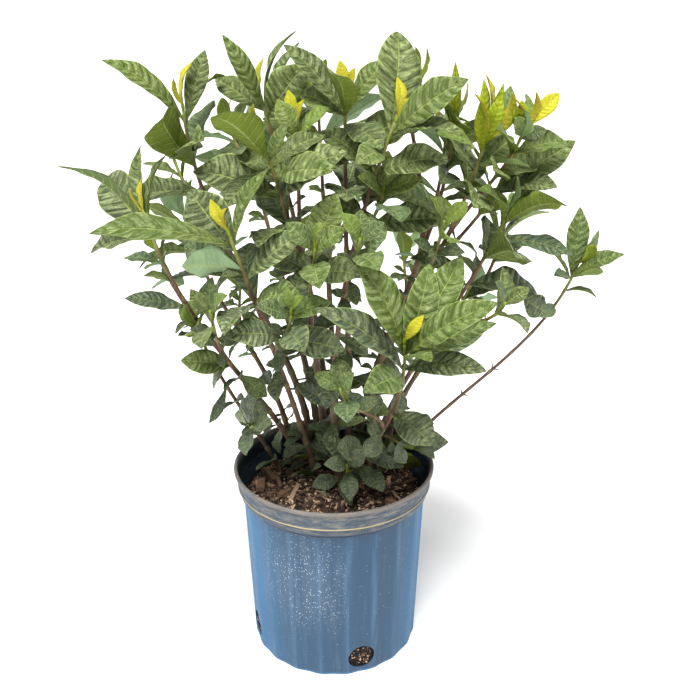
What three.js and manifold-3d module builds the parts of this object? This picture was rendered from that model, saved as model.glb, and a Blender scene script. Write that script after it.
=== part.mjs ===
// Potted gardenia: a fluted nursery pot filled with soil, with woody, leafy stems that stand in
// the soil and a bud of young yellow leaves at the end of each shoot.
// Millimetres, +Z up. The origin is the centre of the pot's flat underside. The side that a
// front view shows faces −Y, with +X to its right.
import * as THREE from 'three';
import { mergeGeometries, mergeVertices } from 'three/addons/utils/BufferGeometryUtils.js';
import Module from 'manifold-3d';

const wasm = await Module();
wasm.setup();

// Pot: the driving sizes of a three-gallon trade nursery container
const POT_HEIGHT = 243;
const RIM_RADIUS = 124;
const BASE_RADIUS = 105;
const BODY_TOP_RADIUS = 113;
const BODY_TOP = 206;
const BAND_BOTTOM = 210;
const BEAD_LEVEL = 219;
const LIP_DEPTH = 4;
const LIP_WIDTH = 4;
const POT_WALL = 2;
const FLUTES = 20;
const FLUTE_DEPTH = 1.5;
const STEPS_AROUND = 2 * FLUTES;
const DRAIN_HOLES = 4;
const DRAIN_WIDTH = 34;
const DRAIN_HEIGHT = 32;
const DRAIN_LEVEL = 24;
const FIRST_DRAIN_ANGLE = -71;

// Soil
const SOIL_EDGE = 200;
const SOIL_MOUND = 7;
const SOIL_ROUGHNESS = 2.2;
const ROOT_LEVEL = 158;

// Clearances between touching pieces
const SEAT_GAP = 0.3;
const HOLE_GAP = 0.4;
const LEAF_GAP = 0.5;
const SLIVER = 0.03;
const OWN_LEAF_GAP = 0.2;

// Wood
const TIP_RADIUS = 1.7;
const STEM_RADIUS_PER_LENGTH = 0.0105;
const SLENDER_RADIUS_PER_LENGTH = 0.006;
const BRANCH_RADIUS_PER_LENGTH = 0.016;
const STEM_SIDES = 5;
const STEM_STEPS = 9;
const BRANCH_SIDES = 3;
const BRANCH_STEPS = 5;

// Leaves
const LEAF_LENGTH = 92;
const LEAF_ASPECT = 0.5;
const LEAF_THICKNESS = 1.5;
const LEAF_WAVES = 2.2;
const LEAF_DROOP = 0.05;
const LONG_LEAF = 62;
const LIGHT_TURN = 0.62;
const SIDE_LIGHT = 1.3;
const STEM_WHORLS = 4;
const BRANCH_WHORLS = 3;
const TWIG_WHORLS = 2;
const BUD_LENGTH = 9;
const YOUNG_LEAF_LENGTH = 42;
const YOUNG_ASPECT = 0.34;
const SEED = 20;

// The ways in which a leaf may be turned aside, raised or shortened to stay clear of others:
// [sideways, up, length]
const NUDGES = [
  [0, 0, 1], [0.07, 0, 1], [-0.07, 0, 1], [0, -0.1, 1], [0, 0.1, 1], [0.15, 0, 1], [-0.15, 0, 1],
  [0, -0.2, 1], [0, 0.2, 1], [0.3, -0.1, 0.95], [-0.3, -0.1, 0.95], [0.3, 0.25, 0.9],
  [-0.3, 0.25, 0.9], [0, -0.45, 0.9], [0, 0.45, 0.85], [0.5, 0, 0.85], [-0.5, 0, 0.85],
  [0.5, 0.4, 0.75], [-0.5, 0.4, 0.75], [0.5, -0.4, 0.75], [-0.5, -0.4, 0.75], [0.8, 0, 0.7],
  [-0.8, 0, 0.7], [0, 0, 0.6], [0.4, 0, 0.55], [-0.4, 0, 0.55],
];

const UP = new THREE.Vector3(0, 0, 1);
const BUSH_MIDDLE = new THREE.Vector3(10, 50, 0);
const vector = (place) => new THREE.Vector3(...place);
const degrees = THREE.MathUtils.degToRad;

// A linear congruential sequence keeps every draw the same from run to run
let state = SEED;
function draw(low, high) {
  state = (state * 1664525 + 1013904223) % 4294967296;
  return low + (high - low) * (state / 4294967296);
}

// Turns a closed three.js geometry into a solid, without the flat triangles of collapsed rows
function solidOf(geometry) {
  const bare = geometry.clone();
  bare.deleteAttribute('normal');
  bare.deleteAttribute('uv');
  const merged = mergeVertices(bare, 1e-3);
  const triangles = [];
  for (let i = 0; i < merged.index.count; i += 3) {
    const corners = [0, 1, 2].map((k) => merged.index.getX(i + k));
    if (new Set(corners).size === 3) triangles.push(...corners);
  }
  return new wasm.Manifold(new wasm.Mesh({
    numProp: 3,
    vertProperties: new Float32Array(merged.attributes.position.array),
    triVerts: new Uint32Array(triangles),
  }));
}

// A hollow that the joined blades seal between them counts as a body of negative volume
function filled(solid) {
  const bodies = solid.decompose();
  return bodies.length > 1 ? wasm.Manifold.union(bodies.filter((body) => body.volume() > 0)) : solid;
}

function geometryOf(solid) {
  const mesh = solid.getMesh();
  const geometry = new THREE.BufferGeometry();
  geometry.setAttribute('position', new THREE.BufferAttribute(mesh.vertProperties, 3));
  geometry.setIndex(new THREE.BufferAttribute(mesh.triVerts, 1));
  geometry.computeVertexNormals();
  return geometry;
}

// Moves every vertex of a geometry to the place that a function gives for it
function shape(geometry, place) {
  const positions = geometry.attributes.position;
  const point = new THREE.Vector3();
  for (let i = 0; i < positions.count; i += 1) {
    point.fromBufferAttribute(positions, i);
    positions.setXYZ(i, ...place(point).toArray());
  }
  return geometry;
}

// Pot and soil are turned from a profile of [radius, height] points and then fluted. A fluted
// wall has a valley at every second step around, with a ridge between valleys.
function turned(profile) {
  const outline = profile.map(([radius, height]) => new THREE.Vector2(radius, height));
  return new THREE.LatheGeometry(outline, STEPS_AROUND).rotateX(Math.PI / 2);
}

function fluteSink(point) {
  const angle = Math.atan2(point.y, point.x);
  const valley = (1 + Math.cos(FLUTES * angle)) / 2;
  const fade = THREE.MathUtils.clamp((BODY_TOP - point.z) / 6, 0, 1);
  return FLUTE_DEPTH * valley * fade;
}

function fluted(geometry) {
  return shape(geometry, (point) => {
    const radius = Math.hypot(point.x, point.y);
    const isWall = radius > BASE_RADIUS - 2 * POT_WALL;
    const scale = isWall ? (radius - fluteSink(point)) / radius : 1;
    return point.set(point.x * scale, point.y * scale, point.z);
  });
}

const wallRadius = (height) => THREE.MathUtils.lerp(BASE_RADIUS, BODY_TOP_RADIUS, height / BODY_TOP);

function potSolid() {
  const bandRadius = RIM_RADIUS - 7;
  const beadRadius = RIM_RADIUS - 4;
  const underLip = RIM_RADIUS - 3;
  const innerBase = BASE_RADIUS - POT_WALL;
  const pot = solidOf(fluted(turned([
    [0, 0],
    [BASE_RADIUS - 1, 0],
    [BASE_RADIUS, 3],
    [wallRadius(BODY_TOP - 6), BODY_TOP - 6],
    [BODY_TOP_RADIUS, BODY_TOP],
    [bandRadius, BAND_BOTTOM],
    [bandRadius + 1, BEAD_LEVEL - 2],
    [beadRadius, BEAD_LEVEL],
    [bandRadius + 1.5, BEAD_LEVEL + 2],
    [underLip, POT_HEIGHT - LIP_DEPTH],
    [RIM_RADIUS, POT_HEIGHT - LIP_DEPTH + 1],
    [RIM_RADIUS, POT_HEIGHT],
    [RIM_RADIUS - LIP_WIDTH, POT_HEIGHT],
    [bandRadius - POT_WALL, BAND_BOTTOM + 2],
    [wallRadius(BODY_TOP - 6) - POT_WALL, BODY_TOP - 6],
    [innerBase, POT_WALL + 1],
    [0, POT_WALL + 1],
  ])));
  const cutters = [];
  for (let k = 0; k < DRAIN_HOLES; k += 1) {
    const cutter = new THREE.CylinderGeometry(0.5, 0.5, 5 * POT_WALL, 10);
    cutter.scale(DRAIN_WIDTH, 1, DRAIN_HEIGHT);
    cutter.translate(0, BASE_RADIUS, DRAIN_LEVEL);
    cutter.rotateZ(degrees(FIRST_DRAIN_ANGLE - 90 + (360 / DRAIN_HOLES) * k));
    cutters.push(solidOf(cutter));
  }
  return pot.subtract(wasm.Manifold.union(cutters));
}

// The soil's top swells toward the middle and is rough with bark
function soilHeight(x, y) {
  const edge = Math.min(1, Math.hypot(x, y) / BODY_TOP_RADIUS);
  const mound = SOIL_MOUND * (1 - edge * edge);
  const rough = Math.sin(x * 0.11 + 1) * Math.cos(y * 0.13) + 0.6 * Math.sin(x * 0.05 - y * 0.23);
  return SOIL_EDGE + mound + SOIL_ROUGHNESS * rough * (1 - edge ** 4);
}

function soilBlank() {
  const inset = POT_WALL + SEAT_GAP + 0.1;
  const floor = POT_WALL + 1 + SEAT_GAP;
  const profile = [
    [0, floor],
    [wallRadius(floor) - inset, floor],
    [wallRadius(SOIL_EDGE) - inset, SOIL_EDGE],
  ];
  for (const part of [0.8, 0.55, 0.28]) profile.push([BODY_TOP_RADIUS * part, SOIL_EDGE + 1]);
  profile.push([0, SOIL_EDGE + 1]);
  return solidOf(shape(fluted(turned(profile)), (point) => {
    if (point.z > SOIL_EDGE + 0.5) point.z = soilHeight(point.x, point.y);
    return point;
  }));
}

// A shoot is a curve of wood with its own leaves and one growing tip. A stem starts in the
// soil and passes through a low and a high point, a third and two thirds of the way up.
function stemCurve({ root, low, high, tip }) {
  const [p0, q1, q2, p3] = [[...root, ROOT_LEVEL], low, high, tip].map(vector);
  const mix = (a, b, c, d) => vector([0, 0, 0])
    .addScaledVector(p0, a).addScaledVector(q1, b).addScaledVector(q2, c).addScaledVector(p3, d);
  return new THREE.CubicBezierCurve3(p0, mix(-5 / 6, 3, -3 / 2, 1 / 3), mix(1 / 3, -3 / 2, 3, -5 / 6), p3);
}

// A branch leaves its stem along the stem's own direction and then turns up to the light
function branchCurve(stem, { at, tip }) {
  const start = stem.getPoint(at);
  const end = vector(tip);
  const reach = end.distanceTo(start);
  const rise = end.clone().sub(start).normalize().add(UP).normalize();
  const first = start.clone().addScaledVector(stem.getTangent(at), reach * 0.35);
  return new THREE.CubicBezierCurve3(start, first, end.clone().addScaledVector(rise, -reach * 0.3), end);
}

// Half the sum of chord and control polygon is close to a cubic curve's length
function lengthOf(curve) {
  const { v0, v1, v2, v3 } = curve;
  const polygon = v0.distanceTo(v1) + v1.distanceTo(v2) + v2.distanceTo(v3);
  return (polygon + v0.distanceTo(v3)) / 2;
}

// The wood runs straight from step to step of its curve. The directions across it are measured
// from the world axis that the shoot runs along least.
function frameAt(shoot, t) {
  const step = Math.min(Math.floor(t * shoot.steps), shoot.steps - 1);
  const centre = shoot.curve.getPoint(step / shoot.steps)
    .lerp(shoot.curve.getPoint((step + 1) / shoot.steps), t * shoot.steps - step);
  const along = shoot.curve.getTangent(t);
  const side = shoot.reference.clone().addScaledVector(along, -shoot.reference.dot(along)).normalize();
  return { centre, along, side, across: side.clone().cross(along) };
}

function makeShoot(curve, node, habit) {
  const length = lengthOf(curve);
  const chord = curve.v3.clone().sub(curve.v0);
  const sizes = chord.toArray().map(Math.abs);
  const reference = vector([0, 0, 0]).setComponent(sizes.indexOf(Math.min(...sizes)), 1);
  const radius = Math.max(TIP_RADIUS + 0.6, length * habit.radiusPerLength);
  return { ...habit, curve, node, length, reference, radius };
}

function wood(shoot, grow = 0) {
  const facetGrow = grow / Math.cos(Math.PI / shoot.sides);
  return solidOf(shape(new THREE.CylinderGeometry(1, 1, 1, shoot.sides, shoot.steps), (point) => {
    const t = Math.round((point.y + 0.5) * shoot.steps) / shoot.steps;
    const { centre, along, side, across } = frameAt(shoot, t);
    const radius = THREE.MathUtils.lerp(shoot.radius, TIP_RADIUS, t ** 0.8) + facetGrow;
    const overrun = t === 0 ? -grow : 0;
    return centre.addScaledVector(along, overrun)
      .addScaledVector(side, point.x * radius).addScaledVector(across, point.z * radius);
  }));
}

// A leaf is a blade on a straight chord from base to tip. Its half outline, arch and waved
// margin are formulas of the way t along it and the way s across it, from −1 to 1.
const halfOutline = (t) => Math.sin(Math.PI * t ** 1.45) ** 0.75;

function bladePoint(leaf, t, s, lift) {
  const { base, along, side, normal, length, look } = leaf;
  const half = (look.width / 2) * halfOutline(t);
  const arch = look.arch * length * 4 * t * (1 - t);
  const wave = look.wave * Math.sin(2 * Math.PI * LEAF_WAVES * t + look.phase + s);
  return base.clone()
    .addScaledVector(along, length * t)
    .addScaledVector(side, half * s * Math.cos(look.fold))
    .addScaledVector(normal, arch + half * Math.abs(s) * (Math.sin(look.fold) + wave) + lift);
}

// Upper and under face share their outline and their split into triangles, so that the waved
// blade is thick at its midrib, most of all near its stalk, and never crosses itself.
function blade(leaf) {
  const stations = leaf.length > LONG_LEAF ? [0, 0.12, 0.5, 0.8, 1] : [0, 0.16, 0.6, 1];
  const rows = stations.length - 1;
  const isInner = (t) => t > 0 && t < 1;
  const liftAt = (t, s) => (isInner(t) ? (1 - Math.abs(s)) * LEAF_THICKNESS * (0.75 - 0.4 * t) : 0);
  const face = (sign) => shape(new THREE.PlaneGeometry(2, 1, 2, rows), (point) => {
    const t = stations[Math.round((point.y + 0.5) * rows)];
    return bladePoint(leaf, t, point.x, sign * liftAt(t, point.x));
  });
  const under = face(-1);
  under.index.array.reverse();
  return solidOf(mergeGeometries([face(1), under]));
}

// The blade's upper side faces the shoot's end, and turns part of the way to the light, which
// comes from above and from outside the bush. A twisted leaf has a facing of its own.
function makeLeaf(base, tip, axis, look) {
  const along = tip.clone().sub(base);
  const length = along.length();
  along.normalize();
  const light = base.clone().sub(BUSH_MIDDLE).setZ(0).normalize().multiplyScalar(SIDE_LIGHT).add(UP);
  const grown = axis.clone().multiplyScalar(1 - LIGHT_TURN).addScaledVector(light, LIGHT_TURN);
  const normal = look.facing ? vector(look.facing) : grown;
  normal.addScaledVector(along, -normal.dot(along)).normalize();
  const side = along.clone().cross(normal);
  return { base, tip, axis, along, normal, side, length, look };
}

function nudged(leaf, [aside, raise, scale]) {
  const { base, axis, length, look } = leaf;
  const along = leaf.along.clone()
    .addScaledVector(leaf.side, aside).addScaledVector(leaf.normal, raise).normalize();
  const tip = base.clone().addScaledVector(along, length * scale);
  return makeLeaf(base, tip, axis, { ...look, width: look.width * scale });
}

// Every finished piece is kept here, so that later ones can be bent clear of it
const placed = [];

function keep(solid, owner) {
  placed.push({ solid, box: solid.boundingBox(), ...owner });
}

function isClear(solid, owner) {
  const box = solid.boundingBox();
  return placed.every((other) => {
    const ownShoot = other.shoot === owner.shoot;
    const ownNode = other.node === owner.node;
    if (ownShoot && (other.whorl === 'wood' || (ownNode && other.whorl === owner.whorl))) return true;
    const gap = ownNode ? OWN_LEAF_GAP : LEAF_GAP;
    const apart = [0, 1, 2].some((k) => box.min[k] > other.box.max[k] + gap
      || other.box.min[k] > box.max[k] + gap);
    return apart || solid.minGap(other.solid, 2 * gap) > gap;
  });
}

// A leaf keeps the first way of turning that leaves it clear of everything. It is left out
// where none does.
function addLeaf(leaf, owner) {
  for (const nudge of NUDGES) {
    const solid = blade(nudged(leaf, nudge));
    if (isClear(solid, owner)) {
      keep(solid, owner);
      return;
    }
  }
}

function drawLook(width) {
  return {
    width,
    arch: draw(0.03, 0.12),
    fold: draw(0.1, 0.4),
    wave: draw(0.08, 0.22),
    phase: draw(0, 2 * Math.PI),
  };
}

// A leaf that reaches a given point, from a place that lies below its shoot's end
function chosenLeaf(shoot, { to, below, width, facing }) {
  const { centre, along } = frameAt(shoot, 1 - below / shoot.length);
  return makeLeaf(centre, vector(to), along, { ...drawLook(width), facing });
}

// The direction that leans from a shoot by a pitch, toward an angle around it
function leaning({ along, side, across }, angle, pitch) {
  return along.clone().multiplyScalar(Math.cos(pitch))
    .addScaledVector(side, Math.cos(angle) * Math.sin(pitch))
    .addScaledVector(across, Math.sin(angle) * Math.sin(pitch));
}

// Leaves stand in pairs, each pair turned against the one above. Down the shoot
// the whorls lie farther apart, and the leaves are longer at first and open wider.
const whorlDepth = (whorl) => 8 + 18 * whorl + 4 * whorl * whorl;

function whorlLeaf(shoot, whorl, turn) {
  const { centre, along, side, across } = frameAt(shoot, 1 - whorlDepth(whorl) / shoot.length);
  const angle = Math.PI * (turn + whorl / 2) + draw(-0.4, 0.4);
  const pitch = degrees(Math.min(34 + 13 * whorl, 92) + draw(-9, 9));
  const size = Math.sin(Math.PI * (whorl + 1.6) / 8) ** 0.8 * draw(0.82, 1.12);
  const length = LEAF_LENGTH * shoot.vigour * size;
  const direction = leaning({ along, side, across }, angle, pitch)
    .addScaledVector(UP, -LEAF_DROOP * whorl).normalize();
  const tip = centre.clone().addScaledVector(direction, length);
  return makeLeaf(centre, tip, along, drawLook(length * LEAF_ASPECT));
}

// The growing tip is a pointed bud with young blades, seated on the end of its shoot
function budSolid(shoot) {
  const { centre, along, side, across } = frameAt(shoot, 1);
  return solidOf(shape(new THREE.CylinderGeometry(0.4, 1, BUD_LENGTH, 4), (point) => centre.clone()
    .addScaledVector(along, SEAT_GAP + point.y + BUD_LENGTH / 2)
    .addScaledVector(side, point.x * TIP_RADIUS).addScaledVector(across, point.z * TIP_RADIUS)));
}

function youngLeaf(shoot, turn) {
  const { centre, along, side, across } = frameAt(shoot, 1);
  const angle = Math.PI * (turn + 0.25) + draw(-0.3, 0.3);
  const length = YOUNG_LEAF_LENGTH * shoot.vigour * draw(0.7, 1.2);
  const base = centre.clone().addScaledVector(along, BUD_LENGTH / 2);
  const tip = base.clone()
    .addScaledVector(leaning({ along, side, across }, angle, degrees(draw(15, 30))), length);
  return makeLeaf(base, tip, along, drawLook(length * YOUNG_ASPECT));
}

function chosenYoungLeaf(shoot, to) {
  const { centre, along } = frameAt(shoot, 1);
  const base = centre.clone().addScaledVector(along, BUD_LENGTH / 2);
  const tip = vector(to);
  return makeLeaf(base, tip, along, drawLook(tip.distanceTo(base) * YOUNG_ASPECT));
}

const leaf = (to, below, width, facing) => ({ to, below, width, facing });
const branch = (at, tip, leaves = [], young = []) => ({ at, tip, leaves, young });
const twig = (at, tip) => ({ at, tip, leaves: [], plain: true, vigour: 0.68 });

// Stems from left to right, then those behind
const STEMS = [
  {
    name: 'left_low', root: [-54, 46], low: [-88, 22, 255], high: [-128, -8, 350], tip: [-150, -40, 432],
    leaves: [leaf([-172, -52, 430], 14, 20)], whorls: 1,
    branches: [twig(0.42, [-92, -62, 325])],
  },
  {
    name: 'far_left', root: [-30, 64], low: [-75, 22, 293], high: [-141, -32, 421], tip: [-195, -60, 565],
    leaves: [
      leaf([-265, -100, 630], 14, 25), leaf([-180, -62, 632], 14, 22), leaf([-212, -32, 636], 14, 24),
      leaf([-250, 5, 600], 22, 48), leaf([-258, -60, 530], 22, 40),
      leaf([-222, -72, 480], 115, 24, [0.3, -0.5, 0.8]), leaf([-144, -35, 480], 189, 38, [0.2, -0.9, 0.3]),
      leaf([-170, -50, 399], 210, 30, [0, -0.85, 0.5]),
    ],
    branches: [twig(0.6, [-215, 65, 500]), twig(0.5, [-125, -110, 480])],
  },
  {
    name: 'left_front', root: [-14, 36], low: [-43, 5, 298], high: [-71, -54, 429], tip: [-100, -115, 560],
    leaves: [
      leaf([-232, -140, 572], 14, 32), leaf([-62, -100, 625], 14, 20), leaf([-135, -105, 607], 22, 46),
      leaf([-149, -120, 530], 44, 46, [0, 0.9, 0.45]), leaf([-30, -125, 500], 92, 34),
    ],
    branches: [branch(0.55, [-40, -125, 480])],
  },
  {
    name: 'left_top', root: [-34, 88], low: [-54, 64, 334], high: [-117, 24, 499], tip: [-155, -20, 670],
    leaves: [
      leaf([-225, -50, 725], 14, 28, [0.3, -0.6, 0.75]), leaf([-132, 0, 730], 14, 24, [0, -1, 0.2]),
      leaf([-165, -92, 675], 66, 48),
      leaf([-122, 42, 705], 14, 30),
    ],
    branches: [twig(0.6, [-185, 60, 610])],
  },
  {
    name: 'mid_left', root: [-8, 60], low: [-18, 34, 322], high: [-33, -12, 480], tip: [-67, -62, 637],
    leaves: [
      leaf([-107, -112, 695], 14, 48, [0.1, 0.8, 0.6]),
      leaf([0, -118, 627], 32, 40), leaf([-96, -112, 590], 22, 34),
      leaf([-5, -50, 650], 22, 30),
    ],
    branches: [branch(0.62, [-35, -30, 650]), branch(0.55, [-15, -115, 548])],
  },
  {
    name: 'back_left_top', root: [-8, 84], low: [-15, 84, 332], high: [-39, 52, 505], tip: [-76, 20, 677],
    leaves: [
      leaf([-110, -10, 745], 14, 21, [0.3, -0.9, 0.3]), leaf([-50, 8, 752], 14, 22),
      leaf([-36, 52, 735], 14, 28),
      leaf([-27, -5, 716], 22, 44, [0, -1, 0.3]), leaf([-132, 60, 697], 14, 28),
    ],
    branches: [twig(0.6, [-125, 110, 640])],
  },
  {
    name: 'middle', root: [14, 66], low: [18, 46, 331], high: [16, 16, 502], tip: [15, -12, 677],
    leaves: [
      leaf([-46, -22, 737], 14, 30), leaf([3, -92, 717], 14, 38), leaf([62, 2, 722], 14, 26),
      leaf([-34, -10, 690], 14, 34), leaf([52, -72, 640], 22, 36),
    ],
    branches: [branch(0.6, [55, -45, 590])],
  },
  {
    name: 'mid_right', root: [10, 34], low: [0, 2, 330], high: [18, -32, 498], tip: [66, -52, 662],
    leaves: [
      leaf([79, -44, 752], 14, 52), leaf([130, -102, 710], 14, 38, [-0.3, -0.8, 0.5]),
      leaf([118, -112, 680], 22, 30),
      leaf([20, -92, 645], 32, 30),
    ],
    branches: [twig(0.55, [30, -125, 560])],
  },
  {
    name: 'right_top', root: [36, 74], low: [48, 60, 323], high: [110, 30, 475], tip: [165, 0, 630],
    leaves: [leaf([110, -62, 655], 14, 30), leaf([222, -22, 622], 22, 26),
      leaf([205, 60, 690], 14, 24)],
    young: [[165, -4, 705], [150, -34, 690], [192, -26, 688]],
    branches: [
      branch(0.75, [206, -4, 645], [], [[246, 10, 686], [216, -24, 690], [188, -30, 684]]),
      branch(0.62, [196, 40, 592], [
        leaf([232, 20, 627], 14, 28), leaf([275, 50, 627], 22, 34, [0, -1, 0.3]),
        leaf([246, -5, 590], 22, 32, [0, -0.6, 0.8]),
      ]),
      twig(0.5, [118, -70, 565]),
    ],
  },
  {
    name: 'right_mid', root: [42, 54], low: [72, 42, 298], high: [135, 22, 425], tip: [196, 3, 555],
    leaves: [
      leaf([252, -42, 577], 14, 42), leaf([266, -32, 517], 32, 30, [0, -0.4, 0.9]),
      leaf([155, -62, 597], 14, 26),
      leaf([228, 30, 600], 14, 30),
    ],
    branches: [twig(0.55, [185, -85, 480]), twig(0.45, [170, 70, 455]), twig(0.2, [98, -16, 272])],
  },
  {
    name: 'right_back', root: [26, 98], low: [52, 93, 324], high: [107, 84, 483], tip: [136, 42, 647],
    leaves: [leaf([116, 0, 700], 14, 30)],
    branches: [branch(0.62, [85, 60, 690])],
  },
  {
    name: 'far_right', root: [64, 46], low: [113, 50, 261], high: [211, 40, 364], tip: [284, 20, 487],
    radiusPerLength: SLENDER_RADIUS_PER_LENGTH,
    leaves: [
      leaf([280, 10, 560], 14, 26, [0, -1, 0.2]), leaf([331, 0, 510], 14, 22, [-0.3, -0.6, 0.8]),
      leaf([252, 42, 507], 14, 22),
      leaf([297, -42, 505], 14, 20), leaf([226, 20, 448], 66, 32, [0, -1, 0.3]),
      leaf([312, 20, 452], 32, 16),
      leaf([238, -20, 440], 52, 18), leaf([254, 0, 484], 14, 18, [0, -0.6, 0.8]),
    ],
    branches: [],
  },
  {
    name: 'front', root: [-24, 26], low: [16, 2, 226], high: [62, -50, 318], tip: [76, -130, 450],
    leaves: [
      leaf([32, -150, 541], 14, 40), leaf([100, -122, 532], 14, 36), leaf([137, -84, 530], 14, 38),
      leaf([155, -188, 515], 14, 34), leaf([-11, -165, 502], 32, 34), leaf([152, -168, 440], 32, 30),
      leaf([172, -62, 450], 32, 32), leaf([35, -190, 425], 40, 36),
      leaf([110, -112, 326], 98, 42, [0.1, -0.75, 0.65]), leaf([164, -150, 481], 18, 26),
      leaf([98, -183, 456], 18, 22, [0, -0.4, 0.9]),
    ],
    young: [[93, -142, 485], [102, -138, 473]],
    branches: [twig(0.6, [10, -140, 405]), twig(0.3, [16, -44, 262])],
  },
  {
    name: 'back_left', root: [-58, 74], low: [-80, 86, 300], high: [-145, 115, 410], tip: [-190, 125, 530],
    leaves: [],
    branches: [twig(0.5, [-130, 190, 430])],
  },
  {
    name: 'back_mid_left', root: [-20, 98], low: [-36, 98, 320], high: [-80, 180, 460], tip: [-110, 195, 600],
    leaves: [],
    branches: [twig(0.5, [-40, 235, 470])],
  },
  {
    name: 'back_middle', root: [2, 102], low: [-2, 102, 335], high: [-12, 150, 500], tip: [-20, 170, 665],
    leaves: [],
    branches: [twig(0.55, [35, 235, 540])],
  },
  {
    name: 'back_mid_right', root: [50, 88], low: [62, 94, 320], high: [115, 165, 470], tip: [140, 165, 620],
    leaves: [],
    branches: [twig(0.5, [95, 230, 450])],
  },
  {
    name: 'back_right', root: [72, 70], low: [92, 80, 300], high: [165, 105, 400], tip: [215, 120, 520],
    leaves: [],
    branches: [twig(0.5, [185, 180, 400])],
  },
];

keep(potSolid(), { node: 'pot', shoot: 'pot', whorl: 'pot' });
keep(soilBlank(), { node: 'soil', shoot: 'soil', whorl: 'soil' });

// Wood of every stem and branch
const shoots = [];
const stemHoles = [];
for (const entry of STEMS) {
  const node = `stem_${entry.name}`;
  const stem = makeShoot(stemCurve(entry), node, {
    young: [], radiusPerLength: STEM_RADIUS_PER_LENGTH, sides: STEM_SIDES, steps: STEM_STEPS,
    whorls: STEM_WHORLS, vigour: 1, ...entry,
  });
  shoots.push(stem);
  stemHoles.push(wood(stem, HOLE_GAP));
  keep(wood(stem), { node, shoot: stem.name, whorl: 'wood' });
  entry.branches.forEach((twigEntry, index) => {
    const shoot = makeShoot(branchCurve(stem.curve, twigEntry), node, {
      radiusPerLength: BRANCH_RADIUS_PER_LENGTH, sides: BRANCH_SIDES, steps: BRANCH_STEPS,
      whorls: twigEntry.plain ? TWIG_WHORLS : BRANCH_WHORLS, vigour: 0.85,
      ...twigEntry, name: `${entry.name}_${index + 1}`,
    });
    shoots.push(shoot);
    keep(wood(shoot), { node, shoot: shoot.name, whorl: 'wood' });
  });
}

// Buds, leaves whose place is known, young leaves, and then the pairs from the ends downward
const growing = shoots.filter((shoot) => !shoot.plain);
const tipOwner = (shoot) => ({ node: `tip_${shoot.name}`, shoot: shoot.name, whorl: 'young' });
for (const shoot of growing) keep(budSolid(shoot), tipOwner(shoot));
for (const shoot of shoots) {
  for (const entry of shoot.leaves) {
    addLeaf(chosenLeaf(shoot, entry), { node: shoot.node, shoot: shoot.name, whorl: entry.below });
  }
}
for (const shoot of growing) {
  for (const to of shoot.young) addLeaf(chosenYoungLeaf(shoot, to), tipOwner(shoot));
  const turns = shoot.young.length ? [] : [0, 1];
  for (const turn of turns) addLeaf(youngLeaf(shoot, turn), tipOwner(shoot));
}
for (let whorl = 0; whorl < STEM_WHORLS; whorl += 1) {
  const isDue = (shoot) => whorl < shoot.whorls && whorl >= Math.floor(shoot.leaves.length / 2);
  for (const shoot of shoots.filter(isDue)) {
    for (const turn of [0, 1]) {
      addLeaf(whorlLeaf(shoot, whorl, turn), { node: shoot.node, shoot: shoot.name, whorl });
    }
  }
}

const POT_BLUE = { color: 0x5b86ab, roughness: 0.75, metalness: 0 };
const SOIL_BROWN = { color: 0x2e211a, roughness: 1, metalness: 0 };
const LEAF_GREEN = { color: 0x4c6b35, roughness: 0.5, metalness: 0 };
const YOUNG_YELLOW = { color: 0xcfd24a, roughness: 0.5, metalness: 0 };

const group = new THREE.Group();
function addMesh(name, solid, finish) {
  const mesh = new THREE.Mesh(geometryOf(solid), new THREE.MeshStandardMaterial(finish));
  mesh.name = name;
  group.add(mesh);
}

for (const name of new Set(placed.map((piece) => piece.node))) {
  const solids = placed.filter((piece) => piece.node === name).map((piece) => piece.solid);
  const whole = filled(wasm.Manifold.union(solids).simplify(SLIVER));
  if (name === 'pot') addMesh(name, whole, POT_BLUE);
  else if (name === 'soil') addMesh(name, whole.subtract(wasm.Manifold.union(stemHoles)), SOIL_BROWN);
  else addMesh(name, whole, name.startsWith('tip_') ? YOUNG_YELLOW : LEAF_GREEN);
}

export default group;
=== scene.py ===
# %% [markdown]
# A gardenia in a three-gallon nursery pot. The frame brings the plain solids of the pot, the
# soil, eighteen stems with their large leaves, and the growing tips. Each could be refined
# where it stands. Making a finer piece anew that stands for it gives cleaner faces, so this
# script leaves the solids as they are and does that. All lengths below are millimetres, and
# each finished piece is scaled to metres at its end.

# %% Load the frame
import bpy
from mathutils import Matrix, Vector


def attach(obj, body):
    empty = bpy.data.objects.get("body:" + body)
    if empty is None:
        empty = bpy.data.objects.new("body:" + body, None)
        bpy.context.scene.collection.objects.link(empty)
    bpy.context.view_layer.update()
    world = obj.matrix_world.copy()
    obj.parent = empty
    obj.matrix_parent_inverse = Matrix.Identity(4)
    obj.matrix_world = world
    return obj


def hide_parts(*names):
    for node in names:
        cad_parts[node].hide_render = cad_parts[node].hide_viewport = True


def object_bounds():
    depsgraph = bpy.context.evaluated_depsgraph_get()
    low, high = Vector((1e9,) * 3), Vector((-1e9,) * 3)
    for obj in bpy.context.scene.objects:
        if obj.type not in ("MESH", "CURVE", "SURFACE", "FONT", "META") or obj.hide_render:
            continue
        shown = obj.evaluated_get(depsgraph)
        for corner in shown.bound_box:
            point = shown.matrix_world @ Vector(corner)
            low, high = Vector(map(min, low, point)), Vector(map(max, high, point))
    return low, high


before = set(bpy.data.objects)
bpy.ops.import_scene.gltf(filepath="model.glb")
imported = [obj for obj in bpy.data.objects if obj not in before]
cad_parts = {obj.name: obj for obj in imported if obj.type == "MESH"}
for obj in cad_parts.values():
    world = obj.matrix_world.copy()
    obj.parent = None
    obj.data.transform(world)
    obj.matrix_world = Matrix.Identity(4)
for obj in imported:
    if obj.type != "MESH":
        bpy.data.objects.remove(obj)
cad_low, cad_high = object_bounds()
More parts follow.
